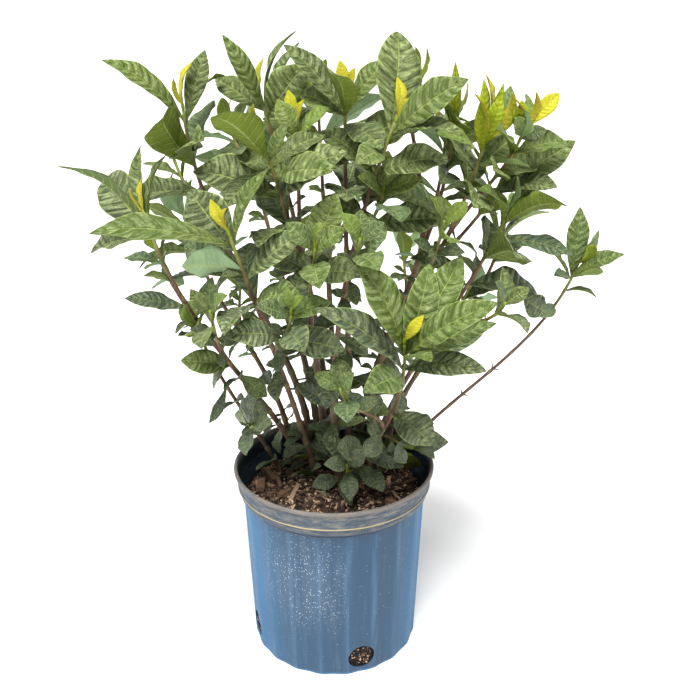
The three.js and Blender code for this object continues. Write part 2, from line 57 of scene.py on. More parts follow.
print("pieces in the frame:", len(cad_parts))

# %% Modules and units
import math

import bmesh
import bpy
from mathutils import Vector, kdtree, noise

MM = 0.001
UP = Vector((0, 0, 1))
cad_box = [[c / MM for c in cad_low], [c / MM for c in cad_high]]
print("the box of the solids in millimetres:", [[round(c) for c in corner] for corner in cad_box])

# %% [markdown]
# A scene that repeats exactly needs its own source of chance. Python's random module would do
# for new leaves, but the large leaves of the solids were placed by this short rule, and only
# the same rule gives the same series of numbers, and so those same leaves again.

# %% A repeatable source of chance
MULTIPLIER, INCREMENT, MODULUS = 1664525, 1013904223, 2 ** 32


class Chance:
    def __init__(self, seed):
        self.state = seed

    def draw(self, low, high):
        self.state = (self.state * MULTIPLIER + INCREMENT) % MODULUS
        return low + (high - low) * (self.state / MODULUS)


growth = Chance(20)
litter = Chance(3)
filling = Chance(11)
print("first draw of the leaves' series:", Chance(20).draw(0, 1))

# %% [markdown]
# Materials are made of nodes. Written out one by one they are hard to read, so a value in a
# material is wrapped in a small class, and plain arithmetic on such values makes Math nodes:
# 1 - mask * 0.5 reads as it would on paper.

# %% Values that do arithmetic with nodes
class Signal:
    def __init__(self, finish, socket):
        self.finish = finish
        self.socket = socket

    def math(self, operation, *others):
        values = dict(enumerate((self, *others)))
        return self.finish.node("ShaderNodeMath", {"operation": operation}, values)

    def __add__(self, other):
        return self.math("ADD", other)

    def __sub__(self, other):
        return self.math("SUBTRACT", other)

    def __mul__(self, other):
        return self.math("MULTIPLY", other)

    def __truediv__(self, other):
        return self.math("DIVIDE", other)

    def __pow__(self, other):
        return self.math("POWER", other)

    def __rsub__(self, other):
        return self.math("MULTIPLY_ADD", -1, other)

    __radd__ = __add__
    __rmul__ = __mul__

    def size(self):
        return self.math("ABSOLUTE")

    # 0 below the first level, 1 above the second, and smooth between them
    def step(self, first, second):
        return self.finish.node(
            "ShaderNodeMapRange", {"interpolation_type": "SMOOTHSTEP"},
            {"Value": self, "From Min": first, "From Max": second})


print("arithmetic on sockets is ready")

# %% [markdown]
# A finish is one material around one Principled shader. Numbers that are the same all over are
# set on the shader's own sockets, and one method makes any node that the pattern needs. The
# methods after it are short names for the few patterns that this plant is painted with.

# %% A finish with one method for any node
class Finish:
    def __init__(self, name, **constants):
        self.material = bpy.data.materials.new(name)
        self.material.use_nodes = True
        self.tree = self.material.node_tree
        self.shader = self.tree.nodes["Principled BSDF"]
        for socket, value in constants.items():
            self.shader.inputs[socket.replace("_", " ")].default_value = value

    def node(self, kind, settings=(), inputs=(), output=0):
        made = self.tree.nodes.new(kind)
        settings = dict(settings)
        for place, colour in settings.pop("stops", ()):
            stop = made.color_ramp.elements.new(place)
            stop.color = (*colour, 1)
        for name, value in settings.items():
            setattr(made, name, value)
        for name, value in dict(inputs).items():
            self.join(value, made.inputs[name])
        return Signal(self, made.outputs[output])

    def join(self, value, socket):
        if isinstance(value, Signal):
            self.tree.links.new(value.socket, socket)
        elif isinstance(value, tuple) and len(value) == 3 and socket.type == "RGBA":
            socket.default_value = (*value, 1)
        else:
            socket.default_value = value

    def mix(self, amount, first, second):
        settings = {"data_type": "RGBA", "clamp_factor": True}
        return self.node("ShaderNodeMix", settings, {0: amount, 6: first, 7: second}, 2)

    # A ramp's two own stops are moved to its ends, and the others are put between them
    def ramp(self, value, stops):
        first, *middle, last = stops
        made = self.node("ShaderNodeValToRGB", {"stops": middle}, {"Fac": value})
        elements = made.socket.node.color_ramp.elements
        elements[0].position, elements[0].color = first[0], (*first[1], 1)
        elements[-1].position, elements[-1].color = last[0], (*last[1], 1)
        return made

    def attribute(self, name):
        return self.node("ShaderNodeAttribute", {"attribute_name": name}, output="Fac")

    def place(self, stretch=(1, 1, 1)):
        coordinates = self.node("ShaderNodeTexCoord", output="Object")
        return self.node("ShaderNodeMapping", inputs={"Vector": coordinates, "Scale": stretch})

    # Fractal noise with a grain of the given size in millimetres
    def noise(self, size, stretch=(1, 1, 1), detail=3, roughness=0.5):
        inputs = {"Vector": self.place(stretch), "Scale": 1 / (size * MM), "Detail": detail}
        return self.node("ShaderNodeTexNoise", inputs={**inputs, "Roughness": roughness})

    # Fractal noise that runs over three other values instead of over places
    def noise_over(self, x, y, z, detail=2, roughness=0.5):
        values = self.node("ShaderNodeCombineXYZ", inputs={"X": x, "Y": y, "Z": z})
        inputs = {"Vector": values, "Scale": 1, "Detail": detail, "Roughness": roughness}
        return self.node("ShaderNodeTexNoise", inputs=inputs)

    # Grains of the given size: the distance to the nearest grain's middle, or to its edge
    def grains(self, size, feature="F1"):
        inputs = {"Vector": self.place(), "Scale": 1 / (size * MM)}
        return self.node("ShaderNodeTexVoronoi", {"feature": feature}, inputs, "Distance")

    def bump(self, height, depth, strength=1.0):
        inputs = {"Height": height, "Distance": depth * MM, "Strength": strength}
        return self.node("ShaderNodeBump", inputs=inputs)

    def feed(self, **inputs):
        for socket, value in inputs.items():
            self.join(value, self.shader.inputs[socket.replace("_", " ")])
        return self.material


print("node helpers are ready")

# %% [markdown]
# Each piece is drawn in a bmesh, Blender's editable mesh, because its operators work without a
# selection or a mode. When it is done it is scaled to metres, turned into an object at the
# origin, given its material and tied to the body that it rides on, and the plain solids that
# it stands for are hidden.

# %% Turn an editable mesh into a finished piece
def finished(bm, name, material, nodes=(), sharp=None):
    bmesh.ops.scale(bm, vec=(MM, MM, MM), verts=bm.verts)
    mesh = bpy.data.meshes.new(name)
    bm.to_mesh(mesh)
    bm.free()
    mesh.materials.append(material)
    mesh.shade_smooth()
    if sharp:
        mesh.set_sharp_from_angle(angle=math.radians(sharp))
    piece = bpy.data.objects.new(name, mesh)
    bpy.context.scene.collection.objects.link(piece)
    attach(piece, "root")
    if nodes:
        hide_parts(*nodes)
    return piece


def triangles(piece):
    return sum(len(polygon.vertices) - 2 for polygon in piece.data.polygons)


print("pieces are finished one way: scaled, placed, painted and tied to root")

# %% [markdown]
# The picture is taken from chest height, a little to the right of the pot, looking down at
# about 22 degrees. A longer lens keeps the pot's sides nearly upright.

# %% Camera
CAMERA_PLACE = (0.020, -0.991, 0.786)
CAMERA_PITCH = 21.7
FOCAL_LENGTH = 46.3
SENSOR_WIDTH = 36

camera = bpy.data.objects.new("camera", bpy.data.cameras.new("camera"))
camera.data.lens = FOCAL_LENGTH
camera.data.sensor_width = SENSOR_WIDTH
camera.location = CAMERA_PLACE
camera.rotation_euler = (math.radians(90 - CAMERA_PITCH), 0, 0)
bpy.context.scene.collection.objects.link(camera)
bpy.context.scene.camera = camera
print("camera at", tuple(camera.location))

# %% [markdown]
# The plant stands on a white floor in soft daylight. An even white sky alone would leave the
# bush flat, so there is also a sun, high at the front left and wide enough for soft shadows:
# it gives the leaves their sheen and shades the inside of the bush.

# %% Floor
FLOOR_REACH = 400
FLOOR_TONE = (0.88, 0.88, 0.88)

floor_finish = Finish("floor", Roughness=0.9)
floor_finish.feed(Base_Color=FLOOR_TONE)
floor_mesh = bpy.data.meshes.new("floor")
bm = bmesh.new()
bmesh.ops.create_grid(bm, x_segments=1, y_segments=1, size=FLOOR_REACH)
bm.to_mesh(floor_mesh)
bm.free()
floor_mesh.materials.append(floor_finish.material)
floor = bpy.data.objects.new("floor", floor_mesh)
bpy.context.scene.collection.objects.link(floor)
print("floor reaches", FLOOR_REACH, "m each way")

# %% Light
SKY_STRENGTH = 0.52
SUN_STRENGTH = 6.2
SUN_SPREAD = 32
SUN_DIRECTION = Vector((0.08, 0.42, -1))

world = bpy.data.worlds.new("sky")
world.use_nodes = True
world.node_tree.nodes["Background"].inputs["Color"].default_value = (1, 1, 1, 1)
world.node_tree.nodes["Background"].inputs["Strength"].default_value = SKY_STRENGTH
bpy.context.scene.world = world
bpy.context.scene.view_settings.view_transform = "Standard"

sun = bpy.data.objects.new("sun", bpy.data.lights.new("sun", "SUN"))
sun.data.energy = SUN_STRENGTH
sun.data.angle = math.radians(SUN_SPREAD)
sun.rotation_euler = SUN_DIRECTION.to_track_quat("-Z", "Y").to_euler()
bpy.context.scene.collection.objects.link(sun)
print("sun angle:", SUN_SPREAD)

# %% [markdown]
# The pot is blow-moulded plastic: one thin wall with twenty shallow flutes, a wider band at
# the top with a raised bead, and a rolled rim. It could be built up from rings, but it is round
# apart from its flutes, so its profile is drawn once and spun, and then the flutes are pressed
# into the wall by moving its vertices.

# %% Pot sizes
POT_HEIGHT = 243
RIM_RADIUS = 124
BAND_RADIUS = 117
BASE_RADIUS = 105
BODY_TOP_RADIUS = 113
BODY_TOP = 206
BAND_BOTTOM = 210
BEAD_LEVEL = 219
POT_WALL = 2
FOOT_LIFT = 0.8
WALL_ROWS = 16
FLUTES = 20
FLUTE_DEPTH = 1.5
FLUTE_FADE = 6
SPIN_STEPS = 12 * FLUTES
WELD = 0.01


def mixed(low, high, part):
    return low + (high - low) * part


def smooth_step(value, low, high):
    part = min(1, max(0, (value - low) / (high - low)))
    return part * part * (3 - 2 * part)


def wall_radius(height):
    return mixed(BASE_RADIUS, BODY_TOP_RADIUS, height / BODY_TOP)


def flute_sink(angle, height):
    valley = (1 + math.cos(FLUTES * angle)) / 2
    return FLUTE_DEPTH * valley * min(1, max(0, (BODY_TOP - height) / FLUTE_FADE))


print("wall radius halfway up:", wall_radius(BODY_TOP / 2))

# %% Pot profile, from the middle of its foot round the lip to its inner floor
def beside(radius, height, offsets):
    return [(radius + out, height + up) for out, up in offsets]


wall_rows = [3 + (BODY_TOP - 9) * k / WALL_ROWS for k in range(WALL_ROWS + 1)]
foot = [(0, FOOT_LIFT), (60, FOOT_LIFT), (92, FOOT_LIFT), (97, 0)]
foot += beside(BASE_RADIUS, 0, [(-2.4, 0), (-0.8, FOOT_LIFT)])
outer_wall = [(wall_radius(z), z) for z in wall_rows]
shoulder = beside(BODY_TOP_RADIUS, BODY_TOP, [(0, -2), (0.4, 0)])
shoulder += beside(BAND_RADIUS, BAND_BOTTOM, [(-1.2, -1.6), (-0.2, -0.4), (0, 1)])
outer_band = beside(BAND_RADIUS, BEAD_LEVEL, [
    (0.7, -2.4), (1.6, -1.6), (2.4, -0.7), (3, 0), (2.4, 0.7), (1.7, 1.6), (1.5, 3), (2.2, 7),
    (3.4, 9), (2.9, 11), (3.6, 15)])
lip = beside(RIM_RADIUS, POT_HEIGHT, [
    (-3.2, -5.4), (-1.2, -4.9), (-0.3, -4), (0, -2.6), (-0.3, -1.2), (-1.3, -0.3), (-2.6, 0),
    (-3.8, -0.5), (-4.4, -1.8)])
inner_band = beside(BAND_RADIUS, BEAD_LEVEL, [
    (1.4, 14), (0.2, 10), (0.6, 8), (-0.8, 2), (0.2, 0), (-1, -2)])
inner_band += beside(BAND_RADIUS - POT_WALL, BAND_BOTTOM, [(0, 2), (-1.4, 0.4)])
inner_band += beside(BODY_TOP_RADIUS, BODY_TOP, [(-1.6, 0)])
inner_wall = [(wall_radius(z) - POT_WALL, z) for z in reversed(wall_rows)]
pot_floor = [(BASE_RADIUS - POT_WALL - 1, POT_WALL + 1), (60, POT_WALL + 1), (0, POT_WALL + 1)]
profile = foot + outer_wall + shoulder + outer_band + lip + inner_band + inner_wall + pot_floor
print("pot profile points:", len(profile))

# %% The profile spun, with the flutes pressed in
bm = bmesh.new()
line = [bm.verts.new((radius, 0, height)) for radius, height in profile]
edges = [bm.edges.new(pair) for pair in zip(line, line[1:])]
bmesh.ops.spin(bm, geom=line + edges, cent=(0, 0, 0), axis=(0, 0, 1), angle=2 * math.pi,
               steps=SPIN_STEPS, use_merge=True)
bmesh.ops.remove_doubles(bm, verts=bm.verts, dist=WELD)
for vert in bm.verts:
    radius = math.hypot(vert.co.x, vert.co.y)
    if radius > BASE_RADIUS - 2 * POT_WALL:
        scale = (radius - flute_sink(math.atan2(vert.co.y, vert.co.x), vert.co.z)) / radius
        vert.co = Vector((vert.co.x * scale, vert.co.y * scale, vert.co.z))
bmesh.ops.recalc_face_normals(bm, faces=bm.faces)
print("faces of the spun pot:", len(bm.faces))

# %% [markdown]
# The plastic has lost its gloss in the sun. It is blue at the sides and greyer on the front,
# with lime spots where drops have dried, lighter lines of painted highlight on the crests of the
# flutes, a golden painted highlight along the bead and a brighter blue one at the foot, pale
# dust in smears round the band and brown dust on the rim. Inside it is nearly black.
# All of it is noise and grains that are masked by height and direction, so that each mark lies
# on the form that it belongs to.

# %% Colours of the pot
DEEP_BLUE = (0.026, 0.120, 0.250)
BLUE = (0.040, 0.155, 0.300)
SUN_FADED = (0.026, 0.054, 0.094)
FLUTE_HIGHLIGHT = (0.085, 0.18, 0.30)
PALE_STREAK = (0.085, 0.140, 0.200)
LIME_FILM = (0.17, 0.22, 0.27)
LIME_SPOT = (0.46, 0.53, 0.57)
FOOT_HIGHLIGHT_BLUE = (0.05, 0.20, 0.40)
BAND_GREY = (0.052, 0.070, 0.092)
BAND_DUST = (0.25, 0.235, 0.205)
RIM_DUST = (0.185, 0.155, 0.130)
BEAD_HIGHLIGHT_GOLD = (0.40, 0.31, 0.15)
INNER_BLACK = (0.012, 0.022, 0.036)
INNER_DUST = (0.050, 0.080, 0.110)


# The wall below the band. Places are in millimetres
def wall_colour(finish, x, y, level, streak, spots):
    ridge = 0.5 - (y.math("ARCTAN2", x) * FLUTES).math("COSINE") * 0.5
    is_wall = 1 - level.step(BODY_TOP - 3, BODY_TOP + 1)
    front = (x * 0.1 - y).step(35, 100)
    cloud = finish.noise(60, (1, 1, 0.35), 4, 0.6)
    blue = finish.mix(cloud.step(0.35, 0.7), DEEP_BLUE, BLUE)
    faded = finish.mix(front * (0.75 + 0.25 * cloud), blue, SUN_FADED)
    # The lighter lines on the crests of the flutes are a painted highlight
    flute_highlighted = finish.mix(ridge ** 7 * is_wall * streak.step(0.3, 0.7) * 0.4, faded, FLUTE_HIGHLIGHT)
    streaked = finish.mix(streak.step(0.5, 0.75) * is_wall * 0.3, flute_highlighted, PALE_STREAK)
    # Lime spots are thickest on the front left, above mid height, and thin out downwards
    lime_zone = front * (1 - (x + 40).size().step(20, 72)) * level.step(45, 115)
    lime = lime_zone * (1 - 0.55 * level.step(150, 200)) * (0.35 + streak.step(0.35, 0.6))
    stray = spots * finish.noise(5, detail=1).step(0.6, 0.7) * is_wall * 0.5
    filmed = finish.mix(lime * 0.16, streaked, LIME_FILM)
    spotted = finish.mix((spots * lime * 1.2).math("MAXIMUM", stray), filmed, LIME_SPOT)
    # The brighter blue at the foot is a painted highlight
    return finish.mix((1 - level.step(2, 5)) * 0.6, spotted, FOOT_HIGHLIGHT_BLUE)


# The band is greyer below its dust, which lies in smears around it and on the rolled lip
def band_colour(finish, radius, level, dust, spots, wall):
    smear = finish.noise(30, (0.8, 0.8, 3), 4, 0.6)
    is_band = level.step(BODY_TOP + 1, BAND_BOTTOM + 2)
    banded = finish.mix(is_band * 0.8, wall, BAND_GREY)
    dirt = dust.step(0.44, 0.68) * 0.7 + smear.step(0.46, 0.66) * 0.3 + spots * 0.35
    dusty = finish.mix(is_band * dirt, banded, BAND_DUST)
    is_rim = level.step(POT_HEIGHT - 7, POT_HEIGHT - 4)
    rimmed = finish.mix(is_rim * (0.45 + 0.6 * dust.step(0.35, 0.65)), dusty, RIM_DUST)
    # The golden line along the bead's crest is a painted highlight
    near_bead = 1 - (level - BEAD_LEVEL).size().step(0.5, 1.1)
    bead = (radius - (BAND_RADIUS + 1.8)).step(0, 0.7) * near_bead
    return finish.mix(bead * 0.9, rimmed, BEAD_HIGHLIGHT_GOLD)


print("colours and marks of the pot are ready")

# %% Finish of the pot
def pot_material():
    finish = Finish("pot_plastic", Specular_IOR_Level=0.3)
    x, y, level = (finish.node("ShaderNodeSeparateXYZ", inputs={0: finish.place()}, output=k) / MM
                   for k in range(3))
    radius = (x * x + y * y) ** 0.5
    streak = finish.noise(6, (1, 1, 0.05), 4, 0.65)
    dust = finish.noise(9, (0.42, 0.42, 2.3), 6, 0.75)
    spots = 1 - finish.grains(3.1).step(0.1, 0.26)
    wall = wall_colour(finish, x, y, level, streak, spots)
    outer = band_colour(finish, radius, level, dust, spots, wall)
    # The inner side starts at the rim's inner edge and is marked by an attribute
    inner = finish.mix(dust.step(0.48, 0.7) * 0.5, INNER_BLACK, INNER_DUST)
    grain = finish.noise(0.9, detail=2) * 0.3 + dust * 0.6 + streak * 0.4 + spots * 0.25
    return finish.feed(
        Base_Color=finish.mix(finish.attribute("inside"), outer, inner),
        Roughness=0.42 + 0.35 * dust + spots * 0.1,
        Normal=finish.bump(grain, 0.4, 0.6))


pot_finish = pot_material()
print("nodes in the pot's finish:", len(pot_finish.node_tree.nodes))

# %% [markdown]
# Four oval drain holes go through the wall low in the side. No bmesh operator cuts an oval out
# of a fluted wall, so short oval rods are bent round to face outwards, and a Boolean modifier
# with the exact solver takes them away. It is applied at once. The four rods are one mesh, so
# one modifier does all four.

# %% Cutters for the drain holes
DRAIN_HOLES = 4
DRAIN_WIDTH = 34
DRAIN_HEIGHT = 32
DRAIN_LEVEL = 24
FIRST_DRAIN_ANGLE = -71
DRAIN_SIDES = 40
CUTTER_DEPTH = 6 * POT_WALL


def hole_cutter(angle):
    bm = bmesh.new()
    bmesh.ops.create_cone(
        bm, cap_ends=True, segments=DRAIN_SIDES, radius1=0.5, radius2=0.5, depth=1)
    bmesh.ops.scale(bm, vec=(DRAIN_WIDTH, DRAIN_HEIGHT, CUTTER_DEPTH), verts=bm.verts)
    for vert in bm.verts:
        across, up, deep = vert.co
        reach = BASE_RADIUS + deep
        vert.co = Vector((reach * math.cos(angle) - across * math.sin(angle),
                          reach * math.sin(angle) + across * math.cos(angle), DRAIN_LEVEL + up))
    return bm


cutter_mesh = bpy.data.meshes.new("cutter")
joined = bmesh.new()
drain_angles = [math.radians(FIRST_DRAIN_ANGLE + 360 / DRAIN_HOLES * k) for k in range(DRAIN_HOLES)]
for angle in drain_angles:
    part = hole_cutter(angle)
    part.to_mesh(cutter_mesh)
    joined.from_mesh(cutter_mesh)
    part.free()
bmesh.ops.recalc_face_normals(joined, faces=joined.faces)
bmesh.ops.scale(joined, vec=(MM, MM, MM), verts=joined.verts)
joined.to_mesh(cutter_mesh)
joined.free()
cutter = bpy.data.objects.new("cutter", cutter_mesh)
bpy.context.scene.collection.objects.link(cutter)
print("faces of the cutters:", len(cutter_mesh.polygons))

# %% Cut the holes and mark the inner side
POT_CREASE = 38
BAND_FLARE = 0.11

pot = finished(bm, "nursery_pot", pot_finish, ["pot"])
holes = pot.modifiers.new("drains", "BOOLEAN")
holes.operation = "DIFFERENCE"
holes.solver = "EXACT"
holes.object = cutter
bpy.context.view_layer.update()
graph = bpy.context.evaluated_depsgraph_get()
pot.data = bpy.data.meshes.new_from_object(pot.evaluated_get(graph))
pot.modifiers.clear()
bpy.data.objects.remove(cutter)
pot.data.set_sharp_from_angle(angle=math.radians(POT_CREASE))
inside = pot.data.attributes.new("inside", "FLOAT", "POINT")
for index, vert in enumerate(pot.data.vertices):
    x, y, z = vert.co / MM
    wall = wall_radius(z) if z < BODY_TOP else BAND_RADIUS + (z - BAND_BOTTOM) * BAND_FLARE
    middle = wall - POT_WALL / 2 - flute_sink(math.atan2(y, x), z)
    is_inner = math.hypot(x, y) < middle and POT_WALL < z < POT_HEIGHT - 1
    inside.data[index].value = 1.0 if is_inner else 0.0
print("pot triangles:", triangles(pot))

# %% [markdown]
# Potting soil is ground bark. Its body is a disc that swells a little to the middle. A spun
# disc would have long thin faces at its middle, so a square grid is pressed into a circle, and
# its edge is extruded down to the pot's floor. It is rough, so noise in three sizes raises and
# sinks every vertex, more than the plain solid's wide swells do.

# %% Soil body
SOIL_EDGE = 200
SOIL_MOUND = 7
SOIL_ROUGHNESS = 2.2
SOIL_INSET = POT_WALL + 0.4
SOIL_FLOOR = POT_WALL + 1.3
SOIL_CELLS = 130
SIDE_ROWS = 24
SIDE_PITS = 1.2
# each: how wide, which layer of the noise, and how high
SOIL_LUMPS = [(16, 0, 2.4), (6, 7, 2), (2.6, 3, 1.1)]


def soil_height(x, y):
    edge = min(1, math.hypot(x, y) / BODY_TOP_RADIUS)
    mound = SOIL_MOUND * (1 - edge * edge)
    rough = math.sin(x * 0.11 + 1) * math.cos(y * 0.13) + 0.6 * math.sin(x * 0.05 - y * 0.23)
    return SOIL_EDGE + mound + SOIL_ROUGHNESS * rough * (1 - edge ** 4)


def soil_surface(x, y):
    lumps = (noise.noise(Vector((x, y, layer)) / wide) * high for wide, layer, high in SOIL_LUMPS)
    return soil_height(x, y) + sum(lumps)


def soil_side(angle, height):
    return wall_radius(height) - SOIL_INSET - flute_sink(angle, height)


bm = bmesh.new()
bmesh.ops.create_grid(bm, x_segments=SOIL_CELLS, y_segments=SOIL_CELLS, size=1)
for vert in bm.verts:
    u, v, _ = vert.co
    x, y = u * math.sqrt(1 - v * v / 2), v * math.sqrt(1 - u * u / 2)
    reach = soil_side(math.atan2(y, x), SOIL_EDGE)
    vert.co = Vector((x * reach, y * reach, soil_surface(x * reach, y * reach)))
print("faces of the soil's surface:", len(bm.faces))

# %% The soil's side and bottom
ring = [edge for edge in bm.edges if edge.is_boundary]
for row in range(1, SIDE_ROWS + 1):
    height = mixed(SOIL_EDGE - 2, SOIL_FLOOR, row / SIDE_ROWS)
    extruded = bmesh.ops.extrude_edge_only(bm, edges=ring)["geom"]
    ring = [part for part in extruded if isinstance(part, bmesh.types.BMEdge) and part.is_boundary]
    for vert in {vert for edge in ring for vert in edge.verts}:
        angle = math.atan2(vert.co.y, vert.co.x)
        place = Vector((math.cos(angle), math.sin(angle), height / 100))
        reach = soil_side(angle, height) - SIDE_PITS * abs(noise.noise(place * 18))
        vert.co = Vector((reach * math.cos(angle), reach * math.sin(angle), height))
bmesh.ops.contextual_create(bm, geom=ring)
bmesh.ops.recalc_face_normals(bm, faces=bm.faces)
print("faces of the soil with its side and bottom:", len(bm.faces))

# %% Finish of the soil: clumps and fibres from black to pale brown, with paler flecks
# The lowest places of the clumps take the darkest tones: dark soil, and painted shade in the gaps
# between clumps
SOIL_AND_GAP_SHADE_TONES = [
    (0.38, (0.008, 0.006, 0.005)), (0.48, (0.032, 0.020, 0.015)), (0.56, (0.135, 0.080, 0.052)),
    (0.65, (0.40, 0.255, 0.165)), (0.75, (0.85, 0.64, 0.45))]
FLECK = (0.95, 0.74, 0.48)
DEEP_SOIL = (0.012, 0.009, 0.008)


def soil_material():
    finish = Finish("potting_soil", Roughness=0.9, Specular_IOR_Level=0.2)
    clump = finish.noise(7, detail=5, roughness=0.75)
    fibre = finish.noise(3, (1, 0.3, 1), 3, 0.6)
    colour = finish.ramp(clump * 0.6 + fibre * 0.4, SOIL_AND_GAP_SHADE_TONES)
    fleck = 1 - finish.grains(2.1).step(0.12, 0.3)
    flecked = finish.mix(fleck * finish.noise(8, detail=1).step(0.5, 0.62), colour, FLECK)
    level = finish.node("ShaderNodeSeparateXYZ", inputs={0: finish.place()}, output=2) / MM
    deep = finish.mix(1 - level.step(SOIL_EDGE - 30, SOIL_EDGE - 8), flecked, DEEP_SOIL)
    height = clump + fibre * 0.6 + finish.noise(1.2, detail=2) * 0.4
    return finish.feed(Base_Color=deep, Normal=finish.bump(height, 2.2, 0.9))


soil = finished(bm, "soil_body", soil_material(), ["soil"])
print("soil triangles:", triangles(soil))

# %% [markdown]
# Loose bark lies on the soil: long splinters, short chips, crumbs and a few pale grains of
# perlite, and some large pieces at the left. A scan of real bark would take many faces. Here
# each is a cube that is stretched, turned at random and made crooked, with its own tone. The
# drain holes show the same crumbs.

# %% Kinds of bark
CHIP_KINDS = [
    # how many, shortest, longest, width and thickness as shares of the length, tone from, to
    (34, 15, 30, 0.24, 0.14, 0.2, 0.75),
    (260, 6, 17, 0.32, 0.22, 0.0, 0.8),
    (520, 2, 6, 0.5, 0.4, 0.0, 0.85),
    (210, 1.2, 2.8, 0.9, 0.8, 0.86, 1.0),
]
LARGE_CHIPS = [
    # place, length, width and thickness
    (-82, 24, 30, 13, 10), (-70, 6, 26, 10, 9), (-92, 4, 20, 11, 9), (-60, -18, 24, 8, 8),
    (-76, -20, 16, 9, 7), (72, -40, 24, 8, 6),
]
CHIP_REACH = 105
CHIP_TILT = 0.35
LARGE_CHIP_TONE = 0.44
CRUMBS_IN_HOLE = 120
CRUMB_TILT = 0.6
HOLE_MARGIN = 0.42


def add_chip(bm, centre, length, width, thickness, tone, tilt):
    made = bmesh.ops.create_cube(bm, size=1)["verts"]
    turn, roll = litter.draw(0, math.pi), litter.draw(-tilt, tilt)
    for vert in made:
        x, y, z = vert.co
        taper = litter.draw(0.2, 1.1)
        x, y = x * length * litter.draw(0.7, 1.1), y * width * taper
        z = z * thickness * litter.draw(0.4, 1.2) + x * math.sin(roll)
        vert.co = centre + Vector((x * math.cos(turn) - y * math.sin(turn),
                                   x * math.sin(turn) + y * math.cos(turn), z))
        vert[bm.verts.layers.float["tone"]] = tone


print("loose pieces on the soil:", sum(kind[0] for kind in CHIP_KINDS) + len(LARGE_CHIPS))

# %% Bark on the soil
bm = bmesh.new()
bm.verts.layers.float.new("tone")
for count, shortest, longest, broad, thick, dark, pale in CHIP_KINDS:
    for _ in range(count):
        reach, angle = CHIP_REACH * math.sqrt(litter.draw(0, 1)), litter.draw(0, 2 * math.pi)
        length = litter.draw(shortest, longest)
        reach = min(reach, CHIP_REACH + 1 - length / 2)
        x, y = reach * math.cos(angle), reach * math.sin(angle)
        centre = Vector((x, y, soil_surface(x, y) + length * thick * 0.3))
        tone = litter.draw(dark, pale)
        add_chip(bm, centre, length, length * broad, length * thick, tone, CHIP_TILT)
for x, y, length, width, thickness in LARGE_CHIPS:
    centre = Vector((x, y, soil_surface(x, y) + 3))
    add_chip(bm, centre, length, width, thickness, LARGE_CHIP_TONE, CHIP_TILT)
print("faces of the bark on the soil:", len(bm.faces))

# %% Crumbs in the drain holes
for angle in drain_angles:
    for _ in range(CRUMBS_IN_HOLE):
        across = litter.draw(-HOLE_MARGIN, HOLE_MARGIN) * DRAIN_WIDTH
        up = litter.draw(-HOLE_MARGIN, HOLE_MARGIN) * DRAIN_HEIGHT
        if math.hypot(across / DRAIN_WIDTH, up / DRAIN_HEIGHT) > HOLE_MARGIN + 0.02:
            continue
        turn = angle + across / BASE_RADIUS
        reach = soil_side(turn, DRAIN_LEVEL + up) - 1
        centre = Vector((reach * math.cos(turn), reach * math.sin(turn), DRAIN_LEVEL + up))
        size = litter.draw(1.5, 4)
        tone = litter.draw(0, 0.8) ** 1.3
        add_chip(bm, centre, size, size * 0.7, size * 0.6, tone, CRUMB_TILT)
bmesh.ops.recalc_face_normals(bm, faces=bm.faces)
print("faces of all loose pieces:", len(bm.faces))

# %% Finish of the bark: each piece has its own tone, and a grain
BARK_TONES = [
    (0.0, (0.014, 0.010, 0.009)), (0.28, (0.070, 0.044, 0.033)), (0.52, (0.27, 0.160, 0.105)),
    (0.8, (0.66, 0.44, 0.29)), (0.95, (0.95, 0.80, 0.54))]
CHIP_CREASE = 30


def chip_material():
    finish = Finish("bark_chips", Roughness=0.85, Specular_IOR_Level=0.25)
    grain = finish.noise(1.6, (1, 1, 1), 4, 0.65)
    colour = finish.ramp(finish.attribute("tone") + (grain - 0.5) * 0.35, BARK_TONES)
    return finish.feed(Base_Color=colour, Normal=finish.bump(grain, 0.8, 0.8))


chips = finished(bm, "bark_chips", chip_material(), sharp=CHIP_CREASE)
print("chip triangles:", triangles(chips))

# %% [markdown]
# The wood follows curves. A stem is a cubic curve from its root through a low and a high
# point to its tip, and a branch leaves its stem along the stem's direction and turns up to the
# light. Curve objects would draw such lines too. Leaves need exact places and directions along
# them, though, and the solids used formulas, so the same formulas are used here.

# %% Sizes of wood and leaves
ROOT_LEVEL = 158
TIP_RADIUS = 1.7
STEM_RADIUS_PER_LENGTH = 0.0105
SLENDER_RADIUS_PER_LENGTH = 0.006
BRANCH_RADIUS_PER_LENGTH = 0.016
STEM_STEPS = 9
BRANCH_STEPS = 5
LEAF_LENGTH = 92
LEAF_ASPECT = 0.5
LEAF_WAVES = 2.2
LEAF_DROOP = 0.05
LIGHT_TURN = 0.62
SIDE_LIGHT = 1.3
STEM_WHORLS = 4
BRANCH_WHORLS = 3
TWIG_WHORLS = 2
BUD_LENGTH = 9
YOUNG_LEAF_LENGTH = 42
YOUNG_ASPECT = 0.34
BUSH_MIDDLE = Vector((10, 50, 0))
